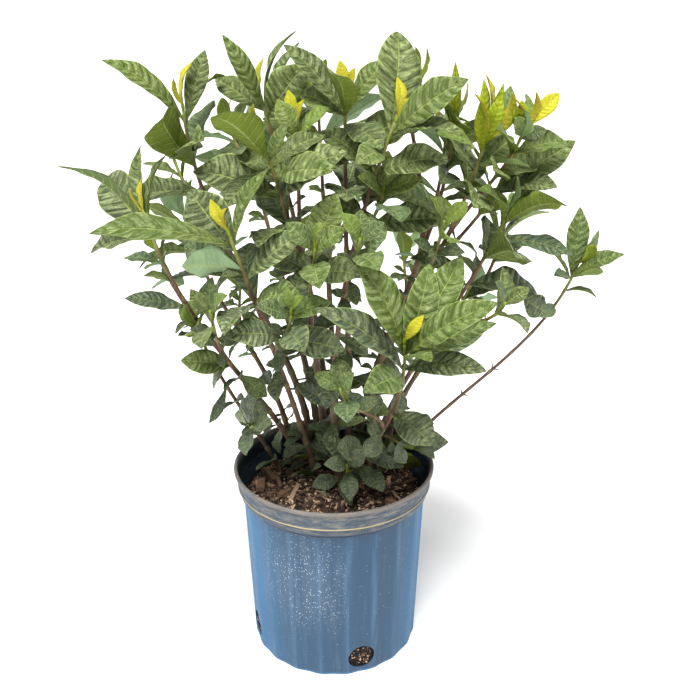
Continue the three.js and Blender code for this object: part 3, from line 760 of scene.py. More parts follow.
# Ways to turn a leaf: how far aside, how far up, and its size afterwards
NUDGES = [
    (0, 0, 1), (0.07, 0, 1), (-0.07, 0, 1), (0, -0.1, 1), (0, 0.1, 1), (0.15, 0, 1), (-0.15, 0, 1),
    (0, -0.2, 1), (0, 0.2, 1), (0.3, -0.1, 0.95), (-0.3, -0.1, 0.95), (0.3, 0.25, 0.9),
    (-0.3, 0.25, 0.9), (0, -0.45, 0.9), (0, 0.45, 0.85), (0.5, 0, 0.85), (-0.5, 0, 0.85),
    (0.5, 0.4, 0.75), (-0.5, 0.4, 0.75), (0.5, -0.4, 0.75), (-0.5, -0.4, 0.75), (0.8, 0, 0.7),
    (-0.8, 0, 0.7), (0, 0, 0.6), (0.4, 0, 0.55), (-0.4, 0, 0.55),
]
print("ways to turn a leaf:", len(NUDGES))

# %% [markdown]
# The table gives, for each stem, the four points of its curve, its branches, and the large
# leaves whose place is known: the point that each reaches, how far below the tip it grows, its
# width and kind, and the way it faces where that shows. A table keeps what is known apart from
# what is drawn by chance, and four small words make it readable: leaf, branch, twig and stem.

# %% Words that the table is written in
# Kinds of leaf that can be told apart: tone, from bluish at 0 to olive at 1, and youth
KINDS = {"quilted": (0.68, 0.06), "dark": (0.5, 0.1), "blue": (0.04, 0.1), "grey": (0.85, 0.08),
         "pale": (0.66, 0.33), "olive": (0.55, 0.42), "bluish": (0.02, 0.36), "fresh": (0.5, 0.5),
         "bright": (0.6, 0.58), "lime": (0.5, 0.84)}


def leaf(to, below, width, kind=None, facing=None):
    return {"to": Vector(to), "below": below, "width": width, "kind": kind, "facing": facing}


def branch(at, tip, leaves=(), young=()):
    return {"at": at, "tip": tip, "leaves": leaves, "young": young, "whorls": BRANCH_WHORLS,
            "vigour": 0.85, "plain": False}


def twig(at, tip):
    return {**branch(at, tip), "whorls": TWIG_WHORLS, "vigour": 0.68, "plain": True}


def stem(name, root, low, high, tip, leaves=(), branches=(), young=(),
         whorls=STEM_WHORLS, radius_per_length=STEM_RADIUS_PER_LENGTH):
    return {"name": name, "root": root, "low": low, "high": high, "tip": tip, "leaves": leaves,
            "branches": branches, "young": young, "whorls": whorls, "vigour": 1,
            "plain": False, "radius_per_length": radius_per_length}


print("kinds of leaf:", ", ".join(KINDS))

# %% Stems at the left
LEFT_STEMS = [
    stem("left_low", (-54, 46), (-88, 22, 255), (-128, -8, 350), (-150, -40, 432),
         leaves=[leaf((-172, -52, 430), 14, 20, "bluish")],
         branches=[twig(0.42, (-92, -62, 325))], whorls=1),
    stem("far_left", (-30, 64), (-75, 22, 293), (-141, -32, 421), (-195, -60, 565),
         leaves=[leaf((-265, -100, 630), 14, 25, "dark"), leaf((-180, -62, 632), 14, 22, "fresh"),
                 leaf((-212, -32, 636), 14, 24, "pale"), leaf((-250, 5, 600), 22, 48, "quilted"),
                 leaf((-258, -60, 530), 22, 40, "quilted"),
                 leaf((-222, -72, 480), 115, 24, "blue", (0.3, -0.5, 0.8)),
                 leaf((-144, -35, 480), 189, 38, "dark", (0.2, -0.9, 0.3)),
                 leaf((-170, -50, 399), 210, 30, "bright", (0, -0.85, 0.5))],
         branches=[twig(0.6, (-215, 65, 500)), twig(0.5, (-125, -110, 480))]),
    stem("left_front", (-14, 36), (-43, 5, 298), (-71, -54, 429), (-100, -115, 560),
         leaves=[leaf((-232, -140, 572), 14, 32, "fresh"), leaf((-62, -100, 625), 14, 20, "fresh"),
                 leaf((-135, -105, 607), 22, 46, "dark"),
                 leaf((-149, -120, 530), 44, 46, "bluish", (0, 0.9, 0.45)),
                 leaf((-30, -125, 500), 92, 34, "fresh")],
         branches=[branch(0.55, (-40, -125, 480))]),
    stem("left_top", (-34, 88), (-54, 64, 334), (-117, 24, 499), (-155, -20, 670),
         leaves=[leaf((-225, -50, 725), 14, 28, "olive", (0.3, -0.6, 0.75)),
                 leaf((-132, 0, 730), 14, 24, "dark", (0, -1, 0.2)),
                 leaf((-165, -92, 675), 66, 48, "olive"), leaf((-122, 42, 705), 14, 30)],
         branches=[twig(0.6, (-185, 60, 610))]),
]
print("stems at the left:", len(LEFT_STEMS))

# %% Stems in the middle
MIDDLE_STEMS = [
    stem("mid_left", (-8, 60), (-18, 34, 322), (-33, -12, 480), (-67, -62, 637),
         leaves=[leaf((-107, -112, 695), 14, 48, "olive", (0.1, 0.8, 0.6)),
                 leaf((0, -118, 627), 32, 40, "pale"),
                 leaf((-96, -112, 590), 22, 34, "quilted"), leaf((-5, -50, 650), 22, 30, "dark")],
         branches=[branch(0.62, (-35, -30, 650)), branch(0.55, (-15, -115, 548))]),
    stem("back_left_top", (-8, 84), (-15, 84, 332), (-39, 52, 505), (-76, 20, 677),
         leaves=[leaf((-110, -10, 745), 14, 21, "olive", (0.3, -0.9, 0.3)),
                 leaf((-50, 8, 752), 14, 22, "pale"),
                 leaf((-36, 52, 735), 14, 28), leaf((-27, -5, 716), 22, 44, "pale", (0, -1, 0.3)),
                 leaf((-132, 60, 697), 14, 28)],
         branches=[twig(0.6, (-125, 110, 640))]),
    stem("middle", (14, 66), (18, 46, 331), (16, 16, 502), (15, -12, 677),
         leaves=[leaf((-46, -22, 737), 14, 30, "dark"), leaf((3, -92, 717), 14, 38, "olive"),
                 leaf((62, 2, 722), 14, 26, "olive"), leaf((-34, -10, 690), 14, 34, "pale"),
                 leaf((52, -72, 640), 22, 36, "dark")],
         branches=[branch(0.6, (55, -45, 590))]),
    stem("mid_right", (10, 34), (0, 2, 330), (18, -32, 498), (66, -52, 662),
         leaves=[leaf((79, -44, 752), 14, 52, "grey"),
                 leaf((130, -102, 710), 14, 38, "fresh", (-0.3, -0.8, 0.5)),
                 leaf((118, -112, 680), 22, 30, "grey"), leaf((20, -92, 645), 32, 30)],
         branches=[twig(0.55, (30, -125, 560))]),
]
print("stems in the middle:", len(MIDDLE_STEMS))

# %% Stems at the right and in front
RIGHT_STEMS = [
    stem("right_top", (36, 74), (48, 60, 323), (110, 30, 475), (165, 0, 630),
         leaves=[leaf((110, -62, 655), 14, 30), leaf((222, -22, 622), 22, 26),
                 leaf((205, 60, 690), 14, 24)],
         young=[(165, -4, 705), (150, -34, 690), (192, -26, 688)],
         branches=[branch(0.75, (206, -4, 645),
                          young=[(246, 10, 686), (216, -24, 690), (188, -30, 684)]),
                   branch(0.62, (196, 40, 592),
                          leaves=[leaf((232, 20, 627), 14, 28, "fresh"),
                                  leaf((275, 50, 627), 22, 34, "pale", (0, -1, 0.3)),
                                  leaf((246, -5, 590), 22, 32, "grey", (0, -0.6, 0.8))]),
                   twig(0.5, (118, -70, 565))]),
    stem("right_mid", (42, 54), (72, 42, 298), (135, 22, 425), (196, 3, 555),
         leaves=[leaf((252, -42, 577), 14, 42, "olive"),
                 leaf((266, -32, 517), 32, 30, "blue", (0, -0.4, 0.9)),
                 leaf((155, -62, 597), 14, 26), leaf((228, 30, 600), 14, 30)],
         branches=[twig(0.55, (185, -85, 480)), twig(0.45, (170, 70, 455)),
                   twig(0.2, (98, -16, 272))]),
    stem("right_back", (26, 98), (52, 93, 324), (107, 84, 483), (136, 42, 647),
         leaves=[leaf((116, 0, 700), 14, 30)],
         branches=[branch(0.62, (85, 60, 690))]),
    stem("far_right", (64, 46), (113, 50, 261), (211, 40, 364), (284, 20, 487),
         leaves=[leaf((280, 10, 560), 14, 26, "fresh", (0, -1, 0.2)),
                 leaf((331, 0, 510), 14, 22, "fresh", (-0.3, -0.6, 0.8)),
                 leaf((252, 42, 507), 14, 22), leaf((297, -42, 505), 14, 20),
                 leaf((226, 20, 448), 66, 32, "dark", (0, -1, 0.3)), leaf((312, 20, 452), 32, 16),
                 leaf((238, -20, 440), 52, 18, "bluish"),
                 leaf((254, 0, 484), 14, 18, "bluish", (0, -0.6, 0.8))],
         radius_per_length=SLENDER_RADIUS_PER_LENGTH),
    stem("front", (-24, 26), (16, 2, 226), (62, -50, 318), (76, -130, 450),
         leaves=[leaf((32, -150, 541), 14, 40, "bright"), leaf((100, -122, 532), 14, 36, "bright"),
                 leaf((137, -84, 530), 14, 38, "bright"), leaf((155, -188, 515), 14, 34, "bright"),
                 leaf((-11, -165, 502), 32, 34, "dark"), leaf((152, -168, 440), 32, 30, "grey"),
                 leaf((172, -62, 450), 32, 32, "grey"), leaf((35, -190, 425), 40, 36, "fresh"),
                 leaf((110, -112, 326), 98, 42, "grey", (0.1, -0.75, 0.65)),
                 leaf((164, -150, 481), 18, 26, "fresh"),
                 leaf((98, -183, 456), 18, 22, "bright", (0, -0.4, 0.9))],
         branches=[twig(0.6, (10, -140, 405)), twig(0.3, (16, -44, 262))],
         young=[(93, -142, 485), (102, -138, 473)]),
]
print("stems at the right and in front:", len(RIGHT_STEMS))

# %% Stems at the back, with leaves that are all drawn by chance
BACK_STEMS = [
    stem("back_left", (-58, 74), (-80, 86, 300), (-145, 115, 410), (-190, 125, 530),
         branches=[twig(0.5, (-130, 190, 430))]),
    stem("back_mid_left", (-20, 98), (-36, 98, 320), (-80, 180, 460), (-110, 195, 600),
         branches=[twig(0.5, (-40, 235, 470))]),
    stem("back_middle", (2, 102), (-2, 102, 335), (-12, 150, 500), (-20, 170, 665),
         branches=[twig(0.55, (35, 235, 540))]),
    stem("back_mid_right", (50, 88), (62, 94, 320), (115, 165, 470), (140, 165, 620),
         branches=[twig(0.5, (95, 230, 450))]),
    stem("back_right", (72, 70), (92, 80, 300), (165, 105, 400), (215, 120, 520),
         branches=[twig(0.5, (185, 180, 400))]),
]
STEMS = LEFT_STEMS + MIDDLE_STEMS + RIGHT_STEMS + BACK_STEMS
print("stems:", len(STEMS), "branches:", sum(len(entry["branches"]) for entry in STEMS))

# %% [markdown]
# A shoot is a stem or a branch: its curve, its length, its wood's radius, and the world axis
# that its side direction is measured from. The curves are worked out as in the solids, so that
# each finer piece lies where its plain one does. Their side direction comes from one fixed
# axis, because it then turns evenly along the shoot and never flips.

# %% Curves of wood
LEAVING = 0.35
ARRIVING = 0.3


class Curve:
    def __init__(self, *points):
        self.points = [Vector(point) for point in points]

    def at(self, t):
        a, b, c, d = self.points
        r = 1 - t
        return a * r ** 3 + b * 3 * r * r * t + c * 3 * r * t * t + d * t ** 3

    def along(self, t):
        a, b, c, d = self.points
        r = 1 - t
        return ((b - a) * r * r + (c - b) * 2 * r * t + (d - c) * t * t).normalized()

    def length(self):
        a, b, c, d = self.points
        return ((b - a).length + (c - b).length + (d - c).length + (d - a).length) / 2


# A stem passes through its low and its high point at one third and two thirds of the way
def stem_curve(entry):
    p0, p3 = Vector((*entry["root"], ROOT_LEVEL)), Vector(entry["tip"])
    q1, q2 = Vector(entry["low"]), Vector(entry["high"])
    return Curve(p0, q1 * 3 - q2 * 1.5 + p3 / 3 - p0 * (5 / 6),
                 q2 * 3 - q1 * 1.5 + p0 / 3 - p3 * (5 / 6), p3)


def branch_curve(main, entry):
    start, end = main.at(entry["at"]), Vector(entry["tip"])
    reach = (end - start).length
    rise = ((end - start).normalized() + UP).normalized()
    leaving = main.along(entry["at"]) * reach * LEAVING
    return Curve(start, start + leaving, end - rise * reach * ARRIVING, end)


print("a curve has a place, a direction and a length")

# %% Shoots
SWELL = 0.6


def make_shoot(curve, node, name, entry, steps, radius_per_length):
    chord = curve.points[3] - curve.points[0]
    sizes = [abs(c) for c in chord]
    reference = Vector([float(k == sizes.index(min(sizes))) for k in range(3)])
    radius = max(TIP_RADIUS + SWELL, curve.length() * radius_per_length)
    return {**entry, "curve": curve, "node": node, "name": name, "steps": steps,
            "length": curve.length(), "reference": reference, "radius": radius}


def frame_at(shoot, t):
    curve, steps = shoot["curve"], shoot["steps"]
    step = min(math.floor(t * steps), steps - 1)
    centre = curve.at(step / steps).lerp(curve.at((step + 1) / steps), t * steps - step)
    along = curve.along(t)
    side = (shoot["reference"] - along * shoot["reference"].dot(along)).normalized()
    return centre, along, side, side.cross(along)


shoots = []
for entry in STEMS:
    node = "stem_" + entry["name"]
    main = stem_curve(entry)
    slenderness = entry["radius_per_length"]
    shoots.append(make_shoot(main, node, entry["name"], entry, STEM_STEPS, slenderness))
    for index, part in enumerate(entry["branches"]):
        name = f"{entry['name']}_{index + 1}"
        curve = branch_curve(main, part)
        shoots.append(make_shoot(curve, node, name, part, BRANCH_STEPS, BRANCH_RADIUS_PER_LENGTH))
wood_length = sum(shoot["length"] for shoot in shoots) * MM
print("shoots:", len(shoots), "wood in all:", round(wood_length, 1), "m")

# %% [markdown]
# A leaf is a blade on a straight line from its base to its tip. Its outline is widest past the
# middle, it arches, folds a little along its midrib, and its margin waves. One modelled leaf
# could be copied many times, but then all would be alike. A formula gives each its own shape.
# It also tells where a leaf lies before any face is made, so that leaves can be turned aside.

# %% A leaf's shape
OUTLINE_SKEW = 1.45
OUTLINE_FULLNESS = 0.75


def half_outline(t):
    return max(0.0, math.sin(math.pi * t ** OUTLINE_SKEW)) ** OUTLINE_FULLNESS


def make_leaf(base, tip, axis, look):
    along = tip - base
    length = along.length
    along = along.normalized()
    light = base - BUSH_MIDDLE
    light = Vector((light.x, light.y, 0)).normalized() * SIDE_LIGHT + UP
    grown = axis * (1 - LIGHT_TURN) + light * LIGHT_TURN
    normal = Vector(look["facing"]) if look.get("facing") else grown
    normal = (normal - along * normal.dot(along)).normalized()
    return {"base": base, "tip": tip, "axis": axis, "along": along, "normal": normal,
            "side": along.cross(normal), "length": length, "look": look}


def nudged(blade, nudge):
    aside, raised, scale = nudge
    along = (blade["along"] + blade["side"] * aside + blade["normal"] * raised).normalized()
    tip = blade["base"] + along * blade["length"] * scale
    look = {**blade["look"], "width": blade["look"]["width"] * scale}
    return make_leaf(blade["base"], tip, blade["axis"], look)


def blade_point(blade, t, s):
    look, length = blade["look"], blade["length"]
    half = look["width"] / 2 * half_outline(t)
    arch = look["arch"] * length * 4 * t * (1 - t)
    wave = look["wave"] * math.sin(2 * math.pi * LEAF_WAVES * t + look["phase"] + s)
    lift = arch + half * abs(s) * (math.sin(look["fold"]) + wave)
    return (blade["base"] + blade["along"] * length * t
            + blade["side"] * half * s * math.cos(look["fold"]) + blade["normal"] * lift)


widest = max(range(101), key=lambda percent: half_outline(percent / 100))
print("a leaf is widest at", widest, "percent of its length")

# %% [markdown]
# Leaves stand in pairs, each pair turned a quarter from the last, at depths below the tip that
# grow from pair to pair. The youngest point up, and older ones stand wider. Chance changes
# each a little. A fixed pattern alone would look made by hand, and chance alone has no order.

# %% Where leaves grow on a shoot
FIRST_WHORL = 8
WHORL_STEP = 18
WHORL_GROWTH = 4
FIRST_PITCH = 34
PITCH_STEP = 13
WIDEST_PITCH = 92
PITCH_CHANCE = 9


def draw_look(chance, width):
    return {"width": width, "arch": chance.draw(0.03, 0.12), "fold": chance.draw(0.1, 0.4),
            "wave": chance.draw(0.08, 0.22), "phase": chance.draw(0, 2 * math.pi)}


def chosen_leaf(shoot, entry):
    centre, along, _, _ = frame_at(shoot, 1 - entry["below"] / shoot["length"])
    look = {**draw_look(growth, entry["width"]), "facing": entry["facing"], "kind": entry["kind"]}
    return make_leaf(centre, entry["to"], along, look)


def leaning(frame_here, angle, pitch):
    _, along, side, across = frame_here
    return (along * math.cos(pitch) + side * math.cos(angle) * math.sin(pitch)
            + across * math.sin(angle) * math.sin(pitch))


def whorl_depth(whorl):
    return FIRST_WHORL + WHORL_STEP * whorl + WHORL_GROWTH * whorl * whorl


def whorl_leaf(shoot, whorl, turn, chance, depth=None, size=None):
    depth = whorl_depth(whorl) if depth is None else depth
    here = frame_at(shoot, 1 - depth / shoot["length"])
    angle = math.pi * (turn + whorl / 2) + chance.draw(-0.4, 0.4)
    pitch = min(FIRST_PITCH + PITCH_STEP * whorl, WIDEST_PITCH)
    pitch = math.radians(pitch + chance.draw(-PITCH_CHANCE, PITCH_CHANCE))
    size = math.sin(math.pi * (whorl + 1.6) / 8) ** 0.8 if size is None else size
    length = LEAF_LENGTH * shoot["vigour"] * size * chance.draw(0.82, 1.12)
    direction = (leaning(here, angle, pitch) - UP * LEAF_DROOP * whorl).normalized()
    tip = here[0] + direction * length
    return make_leaf(here[0], tip, here[1], draw_look(chance, length * LEAF_ASPECT))


print("depths of the pairs below a tip:", [whorl_depth(whorl) for whorl in range(STEM_WHORLS)])

# %% Young leaves at a shoot's tip
def young_leaf(shoot, turn):
    here = frame_at(shoot, 1)
    angle = math.pi * (turn + 0.25) + growth.draw(-0.3, 0.3)
    length = YOUNG_LEAF_LENGTH * shoot["vigour"] * growth.draw(0.7, 1.2)
    base = here[0] + here[1] * BUD_LENGTH / 2
    tip = base + leaning(here, angle, math.radians(growth.draw(15, 30))) * length
    return make_leaf(base, tip, here[1], draw_look(growth, length * YOUNG_ASPECT))


def chosen_young_leaf(shoot, to):
    here = frame_at(shoot, 1)
    base, tip = here[0] + here[1] * BUD_LENGTH / 2, Vector(to)
    return make_leaf(base, tip, here[1], draw_look(growth, (tip - base).length * YOUNG_ASPECT))


print("young leaves that are placed:", sum(len(shoot["young"]) for shoot in shoots))

# %% [markdown]
# The solids hold each leaf in the first of several turned positions that was clear of its
# neighbours. Making the same choice again would need the same test of what is clear. It is
# surer to look: the position whose tip is among the corners of the solid is the one that was
# used. A leaf that is found nowhere was left out. The draws come in the solids' order.

# %% Find the leaves of the solids
TIP_TOLERANCE = 0.15
# A leaf's rank is 0 near the tip, grows by one in so many millimetres, and is -1 on the tip
RANK_DEPTH = 26
TIP_RANK = -1

corner_trees = {}
for name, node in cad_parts.items():
    tree = kdtree.KDTree(len(node.data.vertices))
    for index, vert in enumerate(node.data.vertices):
        tree.insert(vert.co / MM, index)
    tree.balance()
    corner_trees[name] = tree

leaves = []
missing = []


def match_leaf(blade, node, shoot, rank):
    for nudge in NUDGES:
        turned = nudged(blade, nudge)
        if corner_trees[node].find(turned["tip"])[2] < TIP_TOLERANCE:
            leaves.append({**turned, "node": node, "shoot": shoot, "rank": rank})
            return
    missing.append((node, rank))


growing = [shoot for shoot in shoots if not shoot["plain"]]
for shoot in shoots:
    for entry in shoot["leaves"]:
        match_leaf(chosen_leaf(shoot, entry), shoot["node"], shoot, entry["below"] / RANK_DEPTH)
for shoot in growing:
    node = "tip_" + shoot["name"]
    for to in shoot["young"]:
        match_leaf(chosen_young_leaf(shoot, to), node, shoot, TIP_RANK)
    for turn in [] if shoot["young"] else [0, 1]:
        match_leaf(young_leaf(shoot, turn), node, shoot, TIP_RANK)
for whorl in range(STEM_WHORLS):
    for shoot in shoots:
        if whorl < shoot["whorls"] and whorl >= len(shoot["leaves"]) // 2:
            for turn in (0, 1):
                match_leaf(whorl_leaf(shoot, whorl, turn, growth), shoot["node"], shoot, whorl)
print("leaves found in the solids:", len(leaves), "not there:", len(missing))

# %% [markdown]
# The plant has smaller leaves too, down its stems and in the angles between leaf and stem.
# They may not pass through others. Testing face against face would take long, so space is
# counted in small cells: a leaf claims the cells that it passes through, and a new one is
# turned until it meets almost none that are taken.

# %% Keep count of taken space
CELL = 5
FREE_BASE = 0.3
MOST_HITS = 1
BLADE_SAMPLES = 10
SAMPLE_SIDES = (-0.85, -0.4, 0, 0.4, 0.85)
WOOD_SAMPLES = 100
INSIDE_RIM = 105
OUTSIDE_RIM = 134
ABOVE_RIM = 6
ABOVE_SOIL = 3

taken = set()


def cell_of(point):
    return tuple(math.floor(c / CELL) for c in point)


def blade_cells(blade):
    places = [k / BLADE_SAMPLES for k in range(1, BLADE_SAMPLES + 1)]
    return [cell_of(blade_point(blade, t, s))
            for t in places if t > FREE_BASE for s in SAMPLE_SIDES]


def is_inside_box(blade):
    point = blade["tip"]
    radius = math.hypot(point.x, point.y)
    in_wall = INSIDE_RIM < radius < OUTSIDE_RIM and point.z < POT_HEIGHT + ABOVE_RIM
    soil = soil_surface(point.x, point.y) + ABOVE_SOIL
    above = point.z > (POT_HEIGHT if radius > INSIDE_RIM else soil)
    in_box = all(low < c < high for c, low, high in zip(point, *cad_box))
    return in_box and above and not in_wall


for blade in leaves:
    taken.update(blade_cells(blade))
for shoot in shoots:
    places = (k / WOOD_SAMPLES for k in range(WOOD_SAMPLES + 1))
    taken.update(cell_of(shoot["curve"].at(t)) for t in places)
print("cells taken by large leaves and wood:", len(taken))

# %% [markdown]
# Some small leaves can be told apart too: those that hang low on the stems, grey with dust and
# a painted sheen of the sky, and the cluster of young yellow ones at the upper right. Chance
# wouldn't put them there, so they are placed one by one, from a point on a shoot to the point
# that each reaches.

# %% Leaves low on the stems, and the young cluster at the right
# each: shoot, share of the shoot below it, its tip's place, width, kind, and the way it faces
LOW_LEAVES = [
    ("front", 0.32, (-21, -10, 288), 16, "dark"), ("front", 0.35, (-10, -25, 289), 27, "grey"),
    ("front", 0.50, (6, -45, 285), 33, "grey"), ("front", 0.62, (39, -60, 281), 24, "grey"),
    ("front", 0.27, (21, -50, 212), 17, "grey"), ("front", 0.40, (60, -50, 231), 27, "grey"),
    ("front", 0.45, (85, -40, 257), 17, "blue"), ("front", 0.33, (17, -48, 256), 10, "lime"),
    ("front", 0.72, (36, -62, 350), 25, "fresh"), ("far_right", 0.15, (108, 10, 240), 28, "bright"),
    ("left_front", 0.17, (-50, 5, 247), 14, "fresh"),
    ("left_front", 0.10, (-53, -10, 229), 15, "grey"),
    ("left_front", 0.10, (-19, -12, 244), 14, "grey"),
    ("left_front", 0.10, (-11, -35, 209), 15, "grey"),
    ("left_front", 0.27, (-62, 0, 264), 10, "blue"),
    ("left_front", 0.22, (-53, 4, 262), 10, "blue"),
    ("mid_right", 0.25, (39, -10, 306), 15, "olive"),
    ("mid_right", 0.30, (-45, -10, 352), 26, "blue"),
    ("far_left", 0.45, (-93, -15, 285), 30, "grey", (0, -1, 0.2)),
    ("far_left", 0.52, (-78, -22, 341), 24, "olive", (0.3, -1, 0.2)),
    ("left_low", 0.66, (-147, -30, 310), 16, "blue", (0.6, -0.8, 0)),
    ("right_mid", 0.16, (96, 22, 268), 15, "dark"), ("middle", 0.22, (38, 22, 292), 24, "grey"),
]
YOUNG_CLUSTER = [
    ("right_top", 1, (182, -10, 697), 11, "lime"), ("right_top", 1, (163, 6, 700), 12, "lime"),
    ("right_top", 1, (178, -22, 686), 19, "lime"), ("right_top", 0.98, (157, -18, 678), 15, "lime"),
    ("right_top_1", 0.98, (192, -26, 676), 16, "lime"),
    ("right_top_1", 0.98, (193, -34, 664), 18, "bright"),
    ("right_top_1", 1, (201, -12, 680), 15, "lime"),
    ("right_top_1", 0.95, (226, -28, 652), 17, "blue"),
    ("right_back", 0.97, (132, 6, 716), 14, "lime"),
    ("mid_left", 0.97, (-42, -98, 668), 14, "bright"),
]
CLUSTER_FACING = (0, -1, 0.3)
LOW_RANK = 3
print("leaves to be placed one by one:", len(LOW_LEAVES + YOUNG_CLUSTER))

# %% Grow them
SHOOT_NAMED = {shoot["name"]: shoot for shoot in shoots}


def own_leaf(name, share, to, width, kind, facing=None):
    shoot = SHOOT_NAMED[name]
    centre, along, _, _ = frame_at(shoot, share)
    look = {**draw_look(filling, width), "kind": kind, "facing": facing}
    made = make_leaf(centre, Vector(to), along, look)
    taken.update(blade_cells(made))
    leaves.append({**made, "node": shoot["node"], "shoot": shoot, "rank": LOW_RANK})


for entry in LOW_LEAVES:
    own_leaf(*entry)
for entry in YOUNG_CLUSTER:
    own_leaf(*entry, facing=CLUSTER_FACING)
print("leaves so far:", len(leaves))

# %% [markdown]
# Further down each shoot stand pairs that the shade has kept small, and the smallest leaves
# open in the angles of larger ones. Low on the stems nearly half have fallen. A particle
# system could scatter leaves too, but these have to stand crosswise on their own shoot, so they
# are drawn by the rules of the larger ones. One slender stem at the right has only buds below
# its last leaves.

# %% Add smaller leaves
# each: how far below the tip a pair stands, and its size
STEM_FILL = [(150, 0.38), (205, 0.42), (262, 0.5), (305, 0.54), (345, 0.54), (385, 0.52),
             (424, 0.48), (470, 0.4)]
BRANCH_FILL = [(98, 0.46), (144, 0.42)]
TWIG_FILL = [(60, 0.5), (98, 0.42)]
FILL_SHARE = 0.8
BARE_BELOW = 335
LOW_SHARE = 0.58
AXIL_DEPTHS = [52, 130, 232, 330, 400]
AXIL_SIZE = 0.3
AXIL_WHORL = 1.5
AXIL_RANK = 2
FOOT_WITHOUT_PAIRS = 25
FOOT_WITHOUT_AXILS = 30
BARE_STEM = "far_right"


def add_extra(blade, node, shoot, rank):
    for nudge in NUDGES:
        turned = nudged(blade, nudge)
        cells = blade_cells(turned)
        if is_inside_box(turned) and sum(cell in taken for cell in cells) <= MOST_HITS:
            taken.update(cells)
            leaves.append({**turned, "node": node, "shoot": shoot, "rank": rank})
            return


leafy = [shoot for shoot in shoots if shoot["name"] != BARE_STEM]
for shoot in leafy:
    main_fill = BRANCH_FILL if shoot["whorls"] == BRANCH_WHORLS else STEM_FILL
    fill = TWIG_FILL if shoot["plain"] else main_fill
    for step, (depth, size) in enumerate(fill):
        for turn in (0, 1):
            if depth < shoot["length"] - FOOT_WITHOUT_PAIRS and filling.draw(0, 1) < FILL_SHARE:
                whorl = shoot["whorls"] + step
                made = whorl_leaf(shoot, whorl, turn, filling, depth, size)
                if made["base"].z > BARE_BELOW or filling.draw(0, 1) < LOW_SHARE:
                    add_extra(made, shoot["node"], shoot, whorl)
for shoot in leafy:
    for depth in AXIL_DEPTHS:
        for turn in (0, 1):
            if depth < shoot["length"] - FOOT_WITHOUT_AXILS:
                made = whorl_leaf(shoot, AXIL_WHORL + turn, depth, filling, depth, AXIL_SIZE)
                add_extra(made, shoot["node"], shoot, AXIL_RANK)
print("leaves with the smaller ones:", len(leaves))

# %% Buds on the bare stem
BARE_BUDS = [0.36, 0.5, 0.62]
BUD_PITCH = 0.8
BUD_ASPECT = 3

bare = SHOOT_NAMED[BARE_STEM]
for share in BARE_BUDS:
    here = frame_at(bare, share)
    for turn in (0, 1):
        tip = here[0] + leaning(here, math.pi * (turn + share), BUD_PITCH) * BUD_LENGTH
        made = make_leaf(here[0], tip, here[1], draw_look(filling, BUD_LENGTH / BUD_ASPECT))
        leaves.append({**made, "node": bare["node"], "shoot": bare, "rank": 0})
print("leaves in all:", len(leaves))

# %% [markdown]
# Gardenia wood is green and a little ridged near the tips, then purple-brown, and grey-brown
# and rough at the base, with a ring at each place where leaves stand or stood. A curve object
# with a bevel would give smooth wood only. So each shoot is a grid rolled into a tube along
# its curve, which can swell at the rings: the seam is welded and both ends are closed. How old
# the wood is and where its rings are goes to the material as attributes.

# %% Wood
RING_SPACING = 34
RING_SWELL = 0.28
RING_REACH = 2.4
WOOD_ROW = 4.5
WOOD_TAPER = 0.8
WOOD_BUMPS = 0.10
BUMP_SIZE = 9
OLD_AGE = 420
TIP_AGE = 0.02
STEM_SIDES = 12
BRANCH_SIDES = 8


def ring_depths(shoot):
    depths = [whorl_depth(whorl) for whorl in range(shoot["whorls"])]
    while depths[-1] + RING_SPACING < shoot["length"]:
        depths.append(depths[-1] + RING_SPACING)
    return depths


def close_tube(bm, grid, sides):
    bmesh.ops.remove_doubles(bm, verts=grid, dist=WELD)
    ends = [edge for vert in grid if vert.is_valid for edge in vert.link_edges if edge.is_boundary]
    bmesh.ops.holes_fill(bm, edges=list(set(ends)), sides=sides)


def add_wood(bm, shoot, sides):
    curve, length = shoot["curve"], shoot["length"]
    rows = round(length / WOOD_ROW)
    depths = ring_depths(shoot)
    grid = bmesh.ops.create_grid(bm, x_segments=sides, y_segments=rows, size=1)["verts"]
    age, ring = (bm.verts.layers.float[name] for name in ("age", "ring"))
    for vert in grid:
        angle, t = -math.pi * vert.co.x, (vert.co.y + 1) / 2
        _, along, side, across = frame_at(shoot, t)
        depth = (1 - t) * length
        near = max(math.exp(-((depth - d) / RING_REACH) ** 2) for d in depths)
        place = curve.at(t)
        rough = 1 + WOOD_BUMPS * noise.noise(
            place / BUMP_SIZE + side * math.cos(angle) + across * math.sin(angle))
        plain = mixed(shoot["radius"], TIP_RADIUS, t ** WOOD_TAPER)
        radius = plain * rough * (1 + RING_SWELL * near)
        vert.co = place + (side * math.cos(angle) + across * math.sin(angle)) * radius
        vert[age] = min(1, depth / OLD_AGE + (0 if shoot["plain"] else TIP_AGE))
        vert[ring] = near
    close_tube(bm, grid, sides)


print("rings on the first stem:", len(ring_depths(shoots[0])))

# %% Finish of the wood
# from the tip to the oldest wood
WOOD_TONES = [
    (0.0, (0.20, 0.28, 0.04)), (0.09, (0.18, 0.17, 0.045)), (0.2, (0.125, 0.068, 0.038)),
    (0.5, (0.125, 0.067, 0.042)), (0.8, (0.17, 0.108, 0.070)), (1.0, (0.19, 0.14, 0.100))]
CRACK = (0.035, 0.022, 0.016)
RING_TAN = (0.30, 0.24, 0.11)


